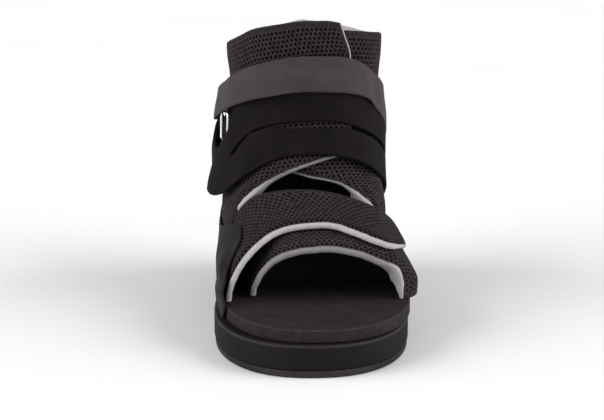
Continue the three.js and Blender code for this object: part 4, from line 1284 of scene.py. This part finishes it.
def make_ring():
    """Wire ring lying on the left quarter, its ends covered by the two straps."""
    station, angle = np.array(float(RING_STATION)), np.array(float(RING_ANGLE))
    middle, out = form_point(station, angle), form_normal(station, angle)
    up = form_point(station + 1, angle) - middle
    up = unit(up - out * np.dot(up, out))
    side = unit(np.cross(up, out))
    lift = QUARTER_WALL + COUNTER_GAP + RING_WIRE
    turn = 2 * math.pi * (np.arange(RING_POINTS) + 0.5) / RING_POINTS
    a = np.sign(np.cos(turn)) * (RING_HALF_WIDTH - RING_CORNER) + RING_CORNER * np.cos(turn)
    b = np.sign(np.sin(turn)) * (RING_HALF_HEIGHT - RING_CORNER) + RING_CORNER * np.sin(turn)
    line = middle + a[:, None] * side + b[:, None] * up + (lift - a * a / RING_BEND)[:, None] * out
    for _ in range(3):
        line = (np.roll(line, 1, 0) + 2 * line + np.roll(line, -1, 0)) / 4
    run = unit(np.roll(line, -1, 0) - np.roll(line, 1, 0))
    aside = unit(np.cross(run, out))
    section = (2 * math.pi * np.arange(WIRE_SIDES) / WIRE_SIDES)[:, None]
    tube = line[:, None] + RING_WIRE * (np.cos(section) * aside[:, None] + np.sin(section) * out)
    skin = Skin()
    skin.add(tube, grid_faces(RING_POINTS, WIRE_SIDES, close_rows=True, close_columns=True))
    piece("strap_ring_wire", skin, ["steel"], ["strap_ring"])


make_ring()

# Stitching


def stitches(skin, station, angle, lift, spacing, length, radius=0.32, place=lifted):
    """Row of short thread stitches along a line on the foot form."""
    line = place(station, angle, lift)
    run = along_lengths(line, 0)
    middle = np.arange(spacing / 2, run[-1], spacing)
    sample = lambda at, table: np.stack([np.interp(at, run, table[:, k]) for k in range(3)], 1)
    normal = form_normal(station, angle)
    ahead, behind = sample(middle + length / 2, line), sample(middle - length / 2, line)
    centre, out = sample(middle, line), unit(sample(middle, normal))
    along = unit(ahead - behind)
    side = np.cross(along, out)
    steps = np.linspace(-1, 1, 7)
    sides = 6
    turn = 2 * math.pi * np.arange(sides) / sides
    fat = radius * np.sqrt(np.maximum(1 - (0.97 * steps) ** 4, 0))
    dip = -0.35 * steps ** 4
    for c, t, s, o in zip(centre, along, side, out):
        ring = c + (steps * length / 2)[:, None, None] * t + dip[:, None, None] * o
        ring = ring + fat[:, None, None] * (np.cos(turn)[:, None] * s + np.sin(turn)[:, None] * o)
        loft(skin, ring)


def edge_stitches(name, wall, edge, angles, offset, thread, spacing=3.6, length=2.3, radius=0.32):
    skin = Skin()
    station = edge(angles) + step_across(edge, angles, offset)
    lift = wall.lift(station, angles) + wall.thick - wall.squeeze(station, angles) + 0.2
    stitches(skin, station, angles, lift, spacing, length, radius, wall.place)
    piece(name, skin, [thread])


edge_stitches("toe_outer_stitching", outer_toe, outer_flap_front, np.linspace(-90, 60, 300),
              TOE_BINDING_WIDTH + 2.4, "thread", 3.2, 2.0, 0.55)
edge_stitches("toe_inner_stitching", inner_toe, inner_flap_front, np.linspace(-40, 64, 300),
              TOE_BINDING_WIDTH + 4.6, "light_thread")
edge_stitches("quarter_left_stitching", left_quarter, left_low, np.linspace(-55, 18, 200), 6.4, "thread")
edge_stitches("quarter_right_stitching", right_quarter, right_low, np.linspace(-4, 42, 200), 6.2, "light_thread")


def counter_stitches():
    skin = Skin()
    angle = np.linspace(106, 276, 460)
    for inset in (2.2, 4.6):
        _, top = counter_edges(angle)
        station = top - step_across(counter_top, angle, inset)
        lift = counter_base(station, angle) + COUNTER_WALL + 0.05
        stitches(skin, station, angle, lift, 3.4, 2.2)
    piece("heel_counter_stitching", skin, ["thread"])


counter_stitches()

# Floor, light and camera


def make_floor():
    material = make_material("pale_floor", 0.7, 0.1, (0.875, 0.875, 0.875), (0.895, 0.895, 0.895), 3, [])
    half = FLOOR_HALF
    mesh = bpy.data.meshes.new("studio_floor")
    mesh.from_pydata([(-half, -half, 0), (half, -half, 0), (half, half, 0), (-half, half, 0)], [], [(0, 1, 2, 3)])
    mesh.materials.append(material)
    floor = bpy.data.objects.new("studio_floor", mesh)
    floor.location.z = -FLOOR_DROP
    bpy.context.scene.collection.objects.link(floor)


def add_sun(name, towards):
    """Wide soft light from one direction, the same all over the floor."""
    light = bpy.data.lights.new(name, "SUN")
    light.angle = math.radians(SUN_ANGLE)
    light.energy = SUN_STRENGTH
    lamp = bpy.data.objects.new(name, light)
    lamp.rotation_euler = Vector(towards).to_track_quat("-Z", "Y").to_euler()
    bpy.context.scene.collection.objects.link(lamp)


def make_light():
    world = bpy.data.worlds.new("studio")
    bpy.context.scene.world = world
    world.use_nodes = True
    sky = world.node_tree.nodes["Background"]
    sky.inputs["Color"].default_value = (1, 1, 1, 1)
    sky.inputs["Strength"].default_value = WORLD_STRENGTH
    add_sun("left_softbox", (1, 0.28, -0.44))
    add_sun("right_softbox", (-1, 0.28, -0.44))
    bpy.context.scene.view_settings.view_transform = "Standard"


def make_camera():
    camera = bpy.data.cameras.new("camera")
    camera.sensor_width = SENSOR_WIDTH
    camera.lens = FOCAL_PIXELS / PICTURE_WIDTH * SENSOR_WIDTH
    camera.clip_start, camera.clip_end = 0.05, 50
    view = bpy.data.objects.new("camera", camera)
    view.location = CAMERA_PLACE
    turn, pitch = math.radians(CAMERA_TURN), math.radians(CAMERA_PITCH)
    ahead = Vector((math.sin(turn) * math.cos(pitch), math.cos(turn) * math.cos(pitch), -math.sin(pitch)))
    view.rotation_euler = ahead.to_track_quat("-Z", "Y").to_euler()
    bpy.context.scene.collection.objects.link(view)
    bpy.context.scene.camera = view


make_floor()
make_light()
make_camera()
